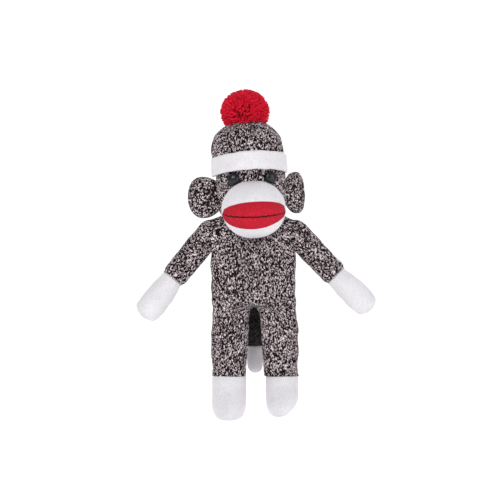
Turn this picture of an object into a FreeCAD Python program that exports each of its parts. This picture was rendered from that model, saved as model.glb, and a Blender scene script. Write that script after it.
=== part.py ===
"""Stuffed knitted monkey: fabric shells, fibre stuffing, plastic eyes, a knitted hat and a yarn pom-pom.

Frame: millimetres, +Z up, the toy faces -Y, its own left side is +X. The origin is on the floor under its middle.
A limb is drawn hanging straight down from its own joint, and its Placement then turns it to its sewn pose.
"""

import FreeCAD, Part
import math
import os
import Sketcher

from FreeCAD import Placement, Rotation, Vector

X_AXIS = Vector(1, 0, 0)
Y_AXIS = Vector(0, 1, 0)
Z_AXIS = Vector(0, 0, 1)
SIDES = {"left": 1, "right": -1}
MIDDLE = {"x": "sizes.trunk_x", "y": "sizes.trunk_y"}

# Driving dimensions, in millimetres and degrees. Each one becomes a cell of the sheet with this name.
SIZES = {
    "trunk_x": -1.5,  # the middle of the trunk and the head: the toy leans a little
    "trunk_y": 9.5,
    "skin_wall": 1.5,  # knitted fabric with its seam allowance
    "stuffing_gap": 0.3,
    "joint_gap": 0.6,
    # head
    "neck_z": 247.0,
    "neck_ball": 19.0,
    "head_roll": 3.2,
    "head_turn": 3.0,
    "eye_x": 22.4,
    "eye_z": 293.0,
    "eye_splay": 16.0,
    "eye_radius": 7.5,
    "eye_height": 5.2,
    "eye_rim": 1.2,
    "eye_shank": 2.0,
    "eye_shank_length": 13.0,
    "washer_radius": 6.5,
    "washer_thick": 1.4,
    "muzzle_y": -30.0,
    "muzzle_z": 256.0,
    "muzzle_wide": 39.0,
    "muzzle_deep": 37.0,
    "muzzle_high": 35.4,
    "muzzle_back": -34.5,
    "lips_x": 36.5,
    "lips_back": 24.0,  # how far before the origin the lips' corners may reach
    "lips_corner_z": 253.0,
    "lips_top_z": 266.0,
    "lips_bottom_z": 233.0,
    "lips_thick": 1.1,
    "mouth_drop": 6.0,
    "mouth_thread": 1.1,
    # hat
    "cuff_low": 303.0,
    "cuff_high": 327.0,
    "cuff_wall": 2.4,
    "crown_wall": 1.6,
    "pompom_z": 378.0,
    "pompom_wide": 30.5,
    "pompom_high": 26.0,
    "pompom_pivot_z": 370.0,
    "pompom_clear": 6.5,
    "tie_radius": 4.0,
    "tie_thread": 0.9,
    # ears
    "ear_x": 62.0,
    "ear_z": 274.5,
    "ear_wide": 18.0,
    "ear_thick": 6.0,
    "ear_high": 26.0,
    "ear_pivot_x": 48.0,
    "ear_left_angle": 34.0,
    "ear_right_angle": 6.0,
    # arms
    "shoulder_x": 52.0,
    "shoulder_z": 228.0,
    "shoulder_ball": 14.5,
    "shoulder_dome": 17.0,
    "arm_left_angle": 43.5,
    "arm_right_angle": 39.6,
    "arm_lower": 33.0,  # half angle between the vertical and an arm that is pressed down
    "wrist_reach": 71.5,
    "wrist_ball": 12.6,
    "wrist_rim": 6.5,
    # legs
    "hip_x": 31.4,
    "hip_z": 128.0,
    "hip_ball": 21.6,
    "leg_back": 25.0,
    "ankle_reach": 76.0,
    "ankle_ball": 19.4,
    "ankle_rim": 8.2,
    # tail
    "tail_x": 1.4,
    "tail_y": 38.5,
    "tail_z": 146.0,
    "tail_ball": 8.2,
    "tail_seam_reach": 56.0,
    "tail_seam_ball": 8.0,
    "tail_rim": 5.0,
    # threads
    "seam_thread": 0.55,
    "stitch_radius": 0.6,
    "stitch_length": 6.0,
    "stitch_pitch": 8.0,
    "back_seam_low": 165.0,
}

# Cross sections of the lofted pieces, from one end to the other: half width, half depth, shift along Y, height.
SECTIONS = {
    "torso": {
        "seat": (44.0, 25.0, 0.0, 131.0),
        "hip": (50.5, 32.0, 0.0, 146.0),
        "belly": (52.0, 33.5, 0.0, 172.0),
        "chest": (51.0, 32.0, 0.0, 203.0),
        "shoulder": (50.0, 28.5, 0.0, 224.0),
        "collar": (43.0, 24.0, 0.0, 237.5),
        "neck": (31.0, 18.0, 0.0, 243.0),
    },
    "head": {
        "chin": (25.0, 21.0, 0.0, 251.0),
        "jaw": (37.0, 34.0, 0.0, 257.5),
        "cheek": (42.5, 39.5, 0.0, 271.0),
        "brow": (42.5, 40.0, 0.0, 294.0),
        "temple": (39.6, 37.6, 0.0, 307.0),
        "scalp": (38.6, 36.8, 0.0, 328.0),
        "dome": (30.5, 29.0, 0.0, 350.0),
        "crest": (21.0, 20.0, 0.0, 358.5),
        "top": (9.0, 8.6, 0.0, 363.0),
    },
    "sleeve": {
        "root": (15.6, 15.6, 0.0, 0.0),
        "upper": (15.9, 15.9, 0.0, -20.0),
        "middle": (15.6, 15.6, 0.0, -48.0),
        "cuff": (14.3, 14.3, 0.0, -78.0),
    },
    "hand": {
        "wrist": (13.4, 13.4, 0.0, -71.5),
        "palm": (16.0, 15.0, 0.0, -95.0),
        "finger": (15.4, 13.8, 0.0, -115.0),
        "nail": (11.5, 9.8, 0.0, -127.5),
        "tip": (6.0, 4.6, 0.0, -131.5),
    },
    "leg": {
        "thigh": (21.9, 21.9, 0.0, 0.0),
        "knee": (22.4, 22.4, 0.0, -36.0),
        "cuff": (21.2, 21.2, 0.0, -80.0),
    },
    "foot": {
        "ankle": (20.2, 20.2, 0.0, -76.0),
        "instep": (20.4, 23.5, -3.0, -96.0),
        "toes": (20.6, 28.0, -8.0, -114.0),
        "pad": (17.0, 24.5, -8.5, -125.5),
        "sole": (13.0, 20.0, -8.5, -128.0),
    },
    "tail": {
        "root": (8.4, 8.4, 0.0, 0.0),
        "middle": (8.9, 8.9, 0.0, -30.0),
        "end": (8.8, 8.8, 0.0, -60.0),
    },
    "tail_tip": {
        "seam": (8.2, 8.2, 0.0, -56.0),
        "bulb": (9.1, 9.1, 0.0, -72.0),
        "taper": (6.8, 6.8, 0.0, -85.0),
        "end": (2.6, 2.6, 0.0, -90.0),
    },
}

doc = FreeCAD.newDocument("stuffed_monkey")
sheet = doc.addObject("Spreadsheet::Sheet", "sizes")
nodes = {}


def fill_sheet():
    """One row per driving dimension: its name, and its value in a cell with that alias."""
    cells = dict(SIZES)
    for piece, sections in SECTIONS.items():
        for section, numbers in sections.items():
            for word, number in zip(("wide", "deep", "shift", "level"), numbers):
                cells[f"{piece}_{section}_{word}"] = number
    for row, (alias, value) in enumerate(cells.items(), start=1):
        sheet.set(f"A{row}", alias)
        sheet.set(f"B{row}", str(value))
        sheet.setAlias(f"B{row}", alias)
    doc.recompute()


def bind(thing, **formulas):
    """Binds properties to formulas of the sheet's cells; a dot in a property's name is written as two underscores."""
    for name, formula in formulas.items():
        thing.setExpression(name.replace("__", "."), formula)
    return thing


def size(alias):
    return float(sheet.get(alias))


def leanings(piece):
    """For each section, the outward direction of the surface there: how much of it is sideways, how much upward."""
    profile = [(wide, level) for wide, _, _, level in SECTIONS[piece].values()]
    ways = []
    for (wide, level), (next_wide, next_level) in zip(profile, profile[1:]):
        run, rise = next_wide - wide, abs(next_level - level)
        upward = math.copysign(1, next_level - level)
        ways.append(math.atan2(-run * upward, rise))
    angles = [ways[0], *[(a + b) / 2 for a, b in zip(ways, ways[1:])], ways[-1]]
    return [(round(math.cos(angle), 4), round(math.sin(angle), 4)) for angle in angles]


def loft(name, piece, grow="0", x="0", y="0", ends="0"):
    """Ellipses at a piece's sections, lofted. grow moves the surface outward, and ends moves both flat ends outward."""
    rings = []
    sections = list(SECTIONS[piece])
    levels = [SECTIONS[piece][section][3] for section in sections]
    deeper = all(deep >= wide for wide, deep, _, _ in SECTIONS[piece].values())
    for section, (sideways, upward) in zip(sections, leanings(piece)):
        ring = doc.addObject("Part::Ellipse", f"{name}_{section}")
        cell = f"sizes.{piece}_{section}"
        if section in (sections[0], sections[-1]):
            top = 1 if SECTIONS[piece][section][3] == max(levels) else -1
            level = f"{cell}_level + {top} * ({ends})"
            wider = f"(({grow}) - {top * upward} * ({ends})) / {sideways}"
        else:
            level = f"{cell}_level + {upward} * ({grow})"
            wider = f"{sideways} * ({grow})"
        wide, deep = f"{cell}_wide + {wider}", f"{cell}_deep + {wider}"
        if deeper:
            wide, deep = deep, wide
            ring.Placement = Placement(Vector(), Rotation(Z_AXIS, 90))
        bind(
            ring,
            MajorRadius=wide,
            MinorRadius=deep,
            Placement__Base__x=x,
            Placement__Base__y=f"{cell}_shift + {y}",
            Placement__Base__z=level,
        )
        rings.append(ring)
    made = doc.addObject("Part::Loft", name)
    made.Sections = rings
    made.Solid = True
    made.Ruled = False
    return made


def ball(name, radius, x="0", y="0", z="0"):
    made = doc.addObject("Part::Sphere", name)
    return bind(made, Radius=radius, Placement__Base__x=x, Placement__Base__y=y, Placement__Base__z=z)


def egg(name, wide, deep, high, x="0", y="0", z="0"):
    """An ellipsoid from its three half sizes."""
    made = doc.addObject("Part::Ellipsoid", name)
    made.Angle1, made.Angle2, made.Angle3 = -90, 90, 360
    return bind(
        made,
        Radius1=high,
        Radius2=wide,
        Radius3=deep,
        Placement__Base__x=x,
        Placement__Base__y=y,
        Placement__Base__z=z,
    )


def rod(name, radius, length, turn, x="0", y="0", z="0"):
    """A cylinder whose own Z is turned by a Rotation and whose foot is at x, y, z."""
    made = doc.addObject("Part::Cylinder", name)
    made.Placement = Placement(Vector(), turn)
    return bind(
        made,
        Radius=radius,
        Height=length,
        Placement__Base__x=x,
        Placement__Base__y=y,
        Placement__Base__z=z,
    )


def ring(name, radius, thread, x="0", y="0", z="0"):
    made = doc.addObject("Part::Torus", name)
    return bind(
        made, Radius1=radius, Radius2=thread, Placement__Base__x=x, Placement__Base__y=y, Placement__Base__z=z
    )


def slab(name, x0, y0, z0, long, wide, high):
    """A box from its lowest corner and its three lengths."""
    made = doc.addObject("Part::Box", name)
    return bind(
        made,
        Length=long,
        Width=wide,
        Height=high,
        Placement__Base__x=x0,
        Placement__Base__y=y0,
        Placement__Base__z=z0,
    )


def fuse(name, *shapes):
    if len(shapes) == 1:
        return shapes[0]
    made = doc.addObject("Part::MultiFuse", name)
    made.Shapes = list(shapes)
    return made


def cut(name, base, *tools):
    made = doc.addObject("Part::Cut", name)
    made.Base = base
    made.Tool = fuse(f"{name}_tools", *tools)
    return made


def common(name, *shapes):
    made = doc.addObject("Part::MultiCommon", name)
    made.Shapes = list(shapes)
    return made


def keep(label, made, placement=None):
    """Marks a finished sub-part. Its label names its file, and the placement moves it to its sewn pose."""
    if placement is not None and made.ExpressionEngine:
        inner, made = made, doc.addObject("Part::Compound", f"{label}_placed")
        made.Links = [inner]
    made.Label = label
    nodes[label] = (made, placement)
    return made


# ---------------------------------------------------------------- trunk
def leg_room(tag, extra):
    """What a leg sweeps between its backward and its forward limit."""
    pieces = []
    for side, sign in SIDES.items():
        spot = {"x": f"{sign} * sizes.hip_x", "y": "sizes.trunk_y", "z": "sizes.hip_z"}
        reach = f"sizes.hip_ball + 0.5 + sizes.joint_gap + {extra}"
        backward = Rotation(X_AXIS, 180 + size("leg_back"))
        pieces.append(ball(f"{tag}_{side}_hip", reach, **spot))
        pieces.append(rod(f"{tag}_{side}_forward", reach, "60", Rotation(X_AXIS, 90), **spot))
        pieces.append(rod(f"{tag}_{side}_backward", reach, "60", backward, **spot))
    return pieces


def arm_room(tag, extra):
    """An armhole in each flank: a ball for the arm's round root, and a cone that the arm swings forward and back in."""
    pieces = []
    for side, sign in SIDES.items():
        spot = {
            "x": f"sizes.trunk_x + {sign} * sizes.shoulder_x",
            "y": "sizes.trunk_y",
            "z": "sizes.shoulder_z",
        }
        reach = f"(sizes.shoulder_dome + sizes.joint_gap + {extra})"
        pieces.append(ball(f"{tag}_{side}_socket", reach, **spot))
        dish = doc.addObject("Part::Cone", f"{tag}_{side}_dish")
        dish.Placement = Placement(Vector(), Rotation(Y_AXIS, 90 * sign))
        bind(
            dish,
            Radius1="0.01",
            Radius2="40 * tan((90 - sizes.arm_lower) * 1 deg)",
            Height="40",
            Placement__Base__x=f"{spot['x']} - {sign} * ({reach} / cos(sizes.arm_lower * 1 deg))",
            Placement__Base__y=spot["y"],
            Placement__Base__z=spot["z"],
        )
        pieces.append(dish)
    return pieces


def trunk_room(tag, extra):
    """Everything that the trunk leaves free for the pieces that move against it."""
    neck = ball(f"{tag}_neck", f"sizes.neck_ball + sizes.joint_gap + {extra}", **MIDDLE, z="sizes.neck_z")
    tail = ball(
        f"{tag}_tail",
        f"sizes.tail_ball + 2.5 + sizes.joint_gap + {extra}",
        x="sizes.tail_x",
        y="sizes.trunk_y + sizes.tail_y",
        z="sizes.tail_z",
    )
    return [neck, tail, *leg_room(tag, extra), *arm_room(tag, extra)]


def back_seam(skin):
    """The hand-sewn closing seam: short stitches across the middle of the back, each lying on the fabric."""
    doc.recompute()
    stitches = []
    z = size("back_seam_low")
    while z < size("torso_shoulder_level") - size("stitch_pitch"):
        middle = Vector(size("trunk_x"), size("trunk_y"), z)
        ray = Part.makeLine(middle, middle + Vector(0, 60, 0))
        on_back = max(v.Point.y for v in ray.common(skin.Shape).Vertexes)
        foot = Vector(middle.x - size("stitch_length") / 2, on_back + size("stitch_radius") + 0.25, z)
        stitches.append(Part.makeCylinder(size("stitch_radius"), size("stitch_length"), foot, X_AXIS))
        z += size("stitch_pitch")
    made = doc.addObject("Part::Feature", "back_seam")
    made.Shape = Part.makeCompound(stitches)
    return made


def make_trunk():
    inner = "sizes.skin_wall"
    outer = loft("torso_outer", "torso", **MIDDLE)
    lining = loft("torso_lining", "torso", grow=f"(-{inner})", **MIDDLE, ends="(-sizes.skin_wall)")
    core = loft(
        "torso_core",
        "torso",
        grow=f"(-{inner} - sizes.stuffing_gap)",
        **MIDDLE,
        ends="(-sizes.skin_wall - sizes.stuffing_gap)",
    )
    skin = cut("torso_shell", outer, lining, *trunk_room("torso_room", "0"))
    keep("torso_skin", skin)
    keep("torso_stuffing", cut("torso_fill", core, *trunk_room("stuffing_room", "sizes.skin_wall")))
    keep("back_seam_stitches", back_seam(skin))
    keep("neck_stuffing", ball("neck_fill", "sizes.neck_ball", **MIDDLE, z="sizes.neck_z"))


# ---------------------------------------------------------------- head
def head_pose():
    """The head is sewn on with a slight lean and turn about the neck."""
    pivot = Vector(size("trunk_x"), size("trunk_y"), size("neck_z"))
    turn = Rotation(Y_AXIS, -size("head_roll")).multiply(Rotation(Z_AXIS, size("head_turn")))
    return Placement(pivot - turn.multVec(pivot), turn)


def muzzle_egg(name, grow):
    return egg(
        name,
        f"sizes.muzzle_wide + {grow}",
        f"sizes.muzzle_deep + {grow}",
        f"sizes.muzzle_high + {grow}",
        x="sizes.trunk_x",
        y="sizes.trunk_y + sizes.muzzle_y",
        z="sizes.muzzle_z",
    )


def chest_room(name, grow):
    """The space over the chest that the muzzle leaves free, so that the head can nod."""
    return slab(
        name,
        "-60",
        f"sizes.trunk_y + sizes.muzzle_back - {grow}",
        "sizes.head_chin_level - 50",
        "120",
        "100",
        f"50 + {grow}",
    )


def muzzle_room(tag, gap, chest_gap):
    """The head behind the muzzle, the space over the chest, and the seats of the eyes."""
    head = loft(f"{tag}_head", "head", grow=gap, **MIDDLE, ends=gap)
    seats = [eye_room(f"{tag}_eye_{side}", sign, True)[0] for side, sign in SIDES.items()]
    return [head, chest_room(f"{tag}_chest", chest_gap), *seats]


def eye_spot(sign):
    """Where an eye's shank meets the face, and the turn that takes +Z to the way the eye looks."""
    wide = (size("head_cheek_wide") + size("head_brow_wide")) / 2
    deep = (size("head_cheek_deep") + size("head_brow_deep")) / 2
    back = deep * math.sqrt(1 - (size("eye_x") / wide) ** 2)
    spot = Vector(size("trunk_x") + sign * size("eye_x"), size("trunk_y") - back + 1.6, size("eye_z"))
    look = Rotation(Z_AXIS, sign * size("eye_splay")).multiply(Rotation(X_AXIS, 90))
    return Placement(spot, look)


def eye_shape(side):
    """A domed button with a straight rim, a flat back and a shank."""
    dome = egg(f"eye_{side}_dome", "sizes.eye_radius", "sizes.eye_radius", "sizes.eye_height - sizes.eye_rim")
    dome.Angle1 = 0
    bind(dome, Placement__Base__z="sizes.eye_rim")
    rim = rod(f"eye_{side}_rim", "sizes.eye_radius", "sizes.eye_rim", Rotation())
    shank = rod(
        f"eye_{side}_shank",
        "sizes.eye_shank",
        "sizes.eye_shank_length + 0.5",
        Rotation(),
        z="(-sizes.eye_shank_length)",
    )
    return fuse(f"eye_{side}_button", dome, rim, shank)


def washer_body(side):
    """The toothed lock washer behind the eye: a disc with a hole for the shank."""
    body = doc.addObject("PartDesign::Body", f"washer_{side}_body")
    plane = [f for f in body.Origin.OriginFeatures if f.Role == "XY_Plane"][0]
    outline = body.newObject("Sketcher::SketchObject", f"washer_{side}_outline")
    outline.AttachmentSupport = [(plane, "")]
    outline.MapMode = "FlatFace"
    radii = {
        "disc": (size("washer_radius"), "sizes.washer_radius"),
        "hole": (size("eye_shank") + 0.1, "sizes.eye_shank + 0.1"),
    }
    for index, (word, (radius, formula)) in enumerate(radii.items()):
        outline.addGeometry(Part.Circle(Vector(), Z_AXIS, radius), False)
        outline.addConstraint(Sketcher.Constraint("Coincident", index, 3, -1, 1))
        made = outline.addConstraint(Sketcher.Constraint("Radius", index, radius))
        outline.renameConstraint(made, word)
        outline.setExpression(f"Constraints.{word}", formula)
    pad = body.newObject("PartDesign::Pad", f"washer_{side}_disc")
    pad.Profile = outline
    pad.setExpression("Length", "sizes.washer_thick")
    body.Tip = pad
    return body


def eye_room(tag, sign, skin):
    """The dimple that an eye sits in, with the hole for its shank; behind the fabric, the washer's space too."""
    spot = eye_spot(sign)
    seat = doc.addObject("Part::Cylinder", f"{tag}_seat")
    seat.Placement = spot.multiply(Placement(Vector(0, 0, -0.2), Rotation()))
    bind(seat, Radius="sizes.eye_radius + 0.4", Height="20")
    hole = doc.addObject("Part::Cylinder", f"{tag}_hole")
    hole.Placement = spot.multiply(Placement(Vector(0, 0, -size("eye_shank_length") - 1), Rotation()))
    bind(hole, Radius="sizes.eye_shank + 0.3", Height="sizes.eye_shank_length + 2")
    if skin:
        return [seat, hole]
    pocket = doc.addObject("Part::Cylinder", f"{tag}_pocket")
    pocket.Placement = spot.multiply(Placement(Vector(0, 0, -size("washer_thick") - 4.2), Rotation()))
    bind(pocket, Radius="sizes.washer_radius + 0.4", Height="24")
    return [seat, hole, pocket]


def lips_outline(name, top, bottom, corner_lift):
    """A pad whose outline, seen from the front, is two arcs that meet at the corners of the mouth."""
    body = doc.addObject("PartDesign::Body", f"{name}_body")
    plane = [f for f in body.Origin.OriginFeatures if f.Role == "XZ_Plane"][0]
    outline = body.newObject("Sketcher::SketchObject", f"{name}_outline")
    outline.AttachmentSupport = [(plane, "")]
    outline.MapMode = "FlatFace"
    outline.AttachmentOffset = Placement(Vector(0, 0, size("lips_back")), Rotation())
    reach, corner = size("lips_x"), size("lips_corner_z") + corner_lift
    middle = size("trunk_x")
    left, right = Vector(middle - reach, corner, 0), Vector(middle + reach, corner, 0)
    outline.addGeometry(Part.Arc(left, Vector(middle, top, 0), right), False)
    outline.addGeometry(Part.Arc(right, Vector(middle, bottom, 0), left), False)
    doc.recompute()
    pad = body.newObject("PartDesign::Pad", f"{name}_pad")
    pad.Profile = outline
    pad.Length = 80
    body.Tip = pad
    return body


def make_face(pose):
    outer = muzzle_egg("muzzle_outer", "0")
    lining = cut(
        "muzzle_lining", muzzle_egg("muzzle_bore", "(-sizes.skin_wall)"), chest_room("lining_chest", "sizes.skin_wall")
    )
    gap = "sizes.stuffing_gap"
    keep("muzzle_skin", cut("muzzle_shell", outer, lining, *muzzle_room("muzzle_room", gap, "0")), pose)
    core = muzzle_egg("muzzle_core", f"(-sizes.skin_wall - {gap})")
    room = muzzle_room("fill_room", gap, f"(sizes.skin_wall + {gap})")
    keep("muzzle_stuffing", cut("muzzle_fill", core, *room), pose)

    lip_fabric = cut(
        "lip_fabric", muzzle_egg("lip_outside", "0.15 + sizes.lips_thick"), muzzle_egg("lip_inside", "0.15")
    )
    lip_shape = lips_outline("lips", size("lips_top_z"), size("lips_bottom_z"), 0)
    keep("lips", common("lips_patch", lip_fabric, lip_shape), pose)

    lifted = 0.3 + size("lips_thick")
    line_fabric = cut(
        "mouth_fabric",
        muzzle_egg("mouth_outside", f"{lifted} + sizes.mouth_thread"),
        muzzle_egg("mouth_inside", f"{lifted}"),
    )
    dip = size("lips_corner_z") - size("mouth_drop")
    half = size("mouth_thread") / 2
    upper = lips_outline("mouth_upper", dip + half, size("lips_bottom_z") - 10, half)
    lower = lips_outline("mouth_lower", dip - half, size("lips_bottom_z") - 20, -half)
    keep("mouth_thread", common("mouth_line", line_fabric, cut("mouth_band", upper, lower)), pose)

    for side, sign in SIDES.items():
        spot = eye_spot(sign)
        keep(f"eye_{side}", eye_shape(side), pose.multiply(spot))
        behind = Placement(Vector(0, 0, -size("washer_thick") - 3.6), Rotation())
        keep(f"eye_washer_{side}", washer_body(side), pose.multiply(spot).multiply(behind))


def make_head():
    pose = head_pose()
    neck = {**MIDDLE, "z": "sizes.neck_z"}
    outer = loft("head_outer", "head", **MIDDLE)
    lining = loft("head_lining", "head", grow="(-sizes.skin_wall)", **MIDDLE, ends="(-sizes.skin_wall)")
    core = loft(
        "head_core",
        "head",
        grow="(-sizes.skin_wall - sizes.stuffing_gap)",
        **MIDDLE,
        ends="(-sizes.skin_wall - sizes.stuffing_gap)",
    )
    skin_room, fill_room = [], []
    for side, sign in SIDES.items():
        skin_room += eye_room(f"skin_eye_{side}", sign, True)
        fill_room += eye_room(f"fill_eye_{side}", sign, False)
    neck_hole = ball("head_neck_hole", "sizes.neck_ball + sizes.joint_gap", **neck)
    neck_pocket = ball("head_neck_pocket", "sizes.neck_ball + sizes.joint_gap + 0.4", **neck)
    keep("head_skin", cut("head_shell", outer, lining, neck_hole, *skin_room), pose)
    keep("head_stuffing", cut("head_fill", core, neck_pocket, *fill_room), pose)
    make_face(pose)
    make_hat(pose)
    make_ears(pose)


# ---------------------------------------------------------------- hat
def head_slice(name, grow, low, high):
    """The head's own outside, widened, between two heights."""
    band = slab(f"{name}_band", "-70", "-70", low, "140", "140", f"({high}) - ({low})")
    return common(name, loft(f"{name}_loft", "head", grow=grow, **MIDDLE, ends=grow), band)


def make_hat(pose):
    gap = "sizes.stuffing_gap"
    crown_in, crown_out = f"{gap} + 0.2", f"{gap} + 0.2 + sizes.crown_wall"
    crown = cut(
        "crown_shell",
        loft("crown_outside", "head", grow=f"({crown_out})", **MIDDLE, ends=f"({crown_out})"),
        loft("crown_inside", "head", grow=f"({crown_in})", **MIDDLE, ends=f"({crown_in})"),
        slab("crown_below", "-70", "-70", "200", "140", "140", "sizes.cuff_high - 9 - 200"),
    )
    keep("hat_crown", crown, pose)
    cuff_in = f"({crown_out} + {gap})"
    cuff_out = f"({crown_out} + {gap} + sizes.cuff_wall)"
    cuff = cut(
        "cuff_ring",
        head_slice("cuff_outside", cuff_out, "sizes.cuff_low", "sizes.cuff_high"),
        loft("cuff_inside", "head", grow=cuff_in, **MIDDLE, ends=cuff_in),
    )
    keep("hat_cuff", cuff, pose)

    yarn = egg(
        "pompom_yarn",
        "sizes.pompom_wide",
        "sizes.pompom_wide",
        "sizes.pompom_high",
        **MIDDLE,
        z="sizes.pompom_z",
    )
    under = loft(
        "pompom_under",
        "head",
        grow=f"({crown_out} + sizes.pompom_clear)",
        **MIDDLE,
        ends=f"({crown_out} + 1.8)",
    )
    throat = rod(
        "pompom_throat", "sizes.tie_radius + 1.2", "16", Rotation(), **MIDDLE, z="sizes.pompom_pivot_z - 8"
    )
    keep("pompom", cut("pompom_ball", yarn, under, throat), pose)
    tie = ring(
        "tie_ring",
        "sizes.tie_radius - sizes.tie_thread",
        "sizes.tie_thread",
        **MIDDLE,
        z="sizes.pompom_pivot_z + 1.0",
    )
    keep("pompom_tie", tie, pose)


# ---------------------------------------------------------------- ears
def make_ears(pose):
    for side, sign in SIDES.items():
        pivot = Vector(size("trunk_x") + sign * size("ear_pivot_x"), size("trunk_y"), size("ear_z"))
        turn = Rotation(Z_AXIS, sign * size(f"ear_{side}_angle"))
        fold = pose.multiply(Placement(pivot, turn))
        middle = f"{sign} * (sizes.ear_x - sizes.ear_pivot_x)"

        def disc(name, grow):
            return egg(
                name,
                f"sizes.ear_wide + {grow}",
                f"sizes.ear_thick + {grow}",
                f"sizes.ear_high + {grow}",
                x=middle,
            )

        skin = cut(f"ear_shell_{side}", disc(f"ear_outer_{side}", "0"), disc(f"ear_lining_{side}", "(-sizes.skin_wall)"))
        keep(f"ear_skin_{side}", skin, fold)
        keep(f"ear_stuffing_{side}", disc(f"ear_fill_{side}", "(-sizes.skin_wall - sizes.stuffing_gap)"), fold)


# ---------------------------------------------------------------- limbs
def cap(name, piece):
    """A fabric cover that is open at its first section and closed at its last."""
    lining = loft(f"{name}_lining", piece, grow="(-sizes.skin_wall)", ends="(-sizes.skin_wall)")
    first = SECTIONS[piece][list(SECTIONS[piece])[0]]
    mouth = rod(f"{name}_mouth", f"{first[0]} - sizes.skin_wall", "6", Rotation(), z=f"{first[3]} - 5")
    return cut(name, loft(f"{name}_outer", piece), lining, mouth)


def core(name, piece, ends="(-sizes.skin_wall - sizes.stuffing_gap)"):
    return loft(name, piece, grow="(-sizes.skin_wall - sizes.stuffing_gap)", ends=ends)


def rim_room(name, reach, rim):
    """Everything beyond a limb's seam, so that the next piece can bend without touching it."""
    return slab(name, "-60", "-60", f"-{reach} + {rim} - 80", "120", "120", "80")


def make_limb(side, spec):
    """One arm, leg or tail: a tube with stuffing, a seam thread and a white end that bends at the seam."""
    tag = f"{spec['tube']}_{side}" if side else spec["tube"]
    end_tag = f"{spec['end']}_{side}" if side else spec["end"]
    skin_label = f"{spec['tube']}_skin_{side}" if side else f"{spec['tube']}_skin"
    end_label = f"{spec['end']}_skin_{side}" if side else f"{spec['end']}_skin"
    seam_label = f"{spec['seam']}_{side}" if side else spec["seam"]
    seam_spot = f"-{spec['reach']}"
    socket = ball(f"{tag}_socket", f"{spec['end_ball']} + sizes.joint_gap", z=seam_spot)
    beyond = rim_room(f"{tag}_beyond", spec["reach"], spec["rim"])
    beyond_fill = rim_room(f"{tag}_beyond_fill", spec["reach"], spec["rim"])
    socket_fill = ball(f"{tag}_socket_fill", f"{spec['end_ball']} + sizes.joint_gap + 0.4", z=seam_spot)

    dome_out = ball(f"{tag}_dome_out", spec["dome"])
    dome_in = ball(f"{tag}_dome_in", f"{spec['dome']} - sizes.skin_wall")
    whole_out = fuse(f"{tag}_whole", dome_out, loft(f"{tag}_outer", spec["tube"]))
    bore = loft(f"{tag}_lining", spec["tube"], grow="(-sizes.skin_wall)", ends="0.5")
    skin = cut(f"{tag}_shell", whole_out, dome_in, bore, socket, beyond)
    pith = core(f"{tag}_core", spec["tube"], ends="0")
    if spec["wad"]:
        wad = ball(f"{tag}_wad", f"{spec['wad']} + sizes.joint_gap")
        fill = cut(f"{tag}_fill", pith, wad, socket_fill, beyond_fill)
    else:
        crown = ball(f"{tag}_crown", f"{spec['dome']} - sizes.skin_wall - sizes.stuffing_gap")
        fill = cut(f"{tag}_fill", fuse(f"{tag}_pith", crown, pith), socket_fill, beyond_fill)
    keep(skin_label, skin, spec["pose"])
    keep(skin_label.replace("skin", "stuffing"), fill, spec["pose"])

    keep(end_label, cap(f"{end_tag}_shell", spec["end"]), spec["pose"])
    knob = ball(f"{end_tag}_knob", f"{spec['end_ball']}", z=seam_spot)
    end_core = core(f"{end_tag}_core", spec["end"])
    reach_in = cut(
        f"{end_tag}_knob_trim",
        knob,
        slab(f"{end_tag}_knob_low", "-60", "-60", f"{seam_spot} + 0.2 - 80", "120", "120", "80"),
    )
    neck = rod(f"{end_tag}_neck", f"{spec['end_ball']} - 2", "6", Rotation(), z=f"{seam_spot} - 3")
    keep(end_label.replace("skin", "stuffing"), fuse(f"{end_tag}_fill", end_core, reach_in, neck), spec["pose"])
    thread = ring(
        f"{seam_label}_ring",
        f"{spec['end_ball']} + 0.15 + sizes.seam_thread",
        "sizes.seam_thread",
        z=f"{seam_spot} + sizes.seam_thread + 0.2",
    )
    keep(seam_label, thread, spec["pose"])


def make_limbs():
    for side, sign in SIDES.items():
        shoulder = Vector(size("trunk_x") + sign * size("shoulder_x"), size("trunk_y"), size("shoulder_z"))
        arm_pose = Placement(shoulder, Rotation(Y_AXIS, -sign * size(f"arm_{side}_angle")))
        keep(f"shoulder_stuffing_{side}", ball(f"shoulder_fill_{side}", "sizes.shoulder_ball"), arm_pose)
        make_limb(
            side,
            {
                "tube": "sleeve",
                "end": "hand",
                "seam": "wrist_seam",
                "reach": "sizes.wrist_reach",
                "rim": "sizes.wrist_rim",
                "dome": "sizes.shoulder_dome",
                "end_ball": "sizes.wrist_ball",
                "wad": "sizes.shoulder_ball",
                "pose": arm_pose,
            },
        )
        hip = Vector(sign * size("hip_x"), size("trunk_y"), size("hip_z"))
        make_limb(
            side,
            {
                "tube": "leg",
                "end": "foot",
                "seam": "ankle_seam",
                "reach": "sizes.ankle_reach",
                "rim": "sizes.ankle_rim",
                "dome": "sizes.hip_ball",
                "end_ball": "sizes.ankle_ball",
                "wad": None,
                "pose": Placement(hip, Rotation()),
            },
        )
    make_limb(
        "",
        {
            "tube": "tail",
            "end": "tail_tip",
            "seam": "tail_seam",
            "reach": "sizes.tail_seam_reach",
            "rim": "sizes.tail_rim",
            "dome": "sizes.tail_ball",
            "end_ball": "(sizes.tail_seam_ball - 0.6)",
            "wad": None,
            "pose": Placement(Vector(size("tail_x"), size("trunk_y") + size("tail_y"), size("tail_z")), Rotation()),
        },
    )


def place_nodes():
    for made, placement in nodes.values():
        if placement is not None:
            made.Placement = placement.multiply(made.Placement)
    doc.recompute()


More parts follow.
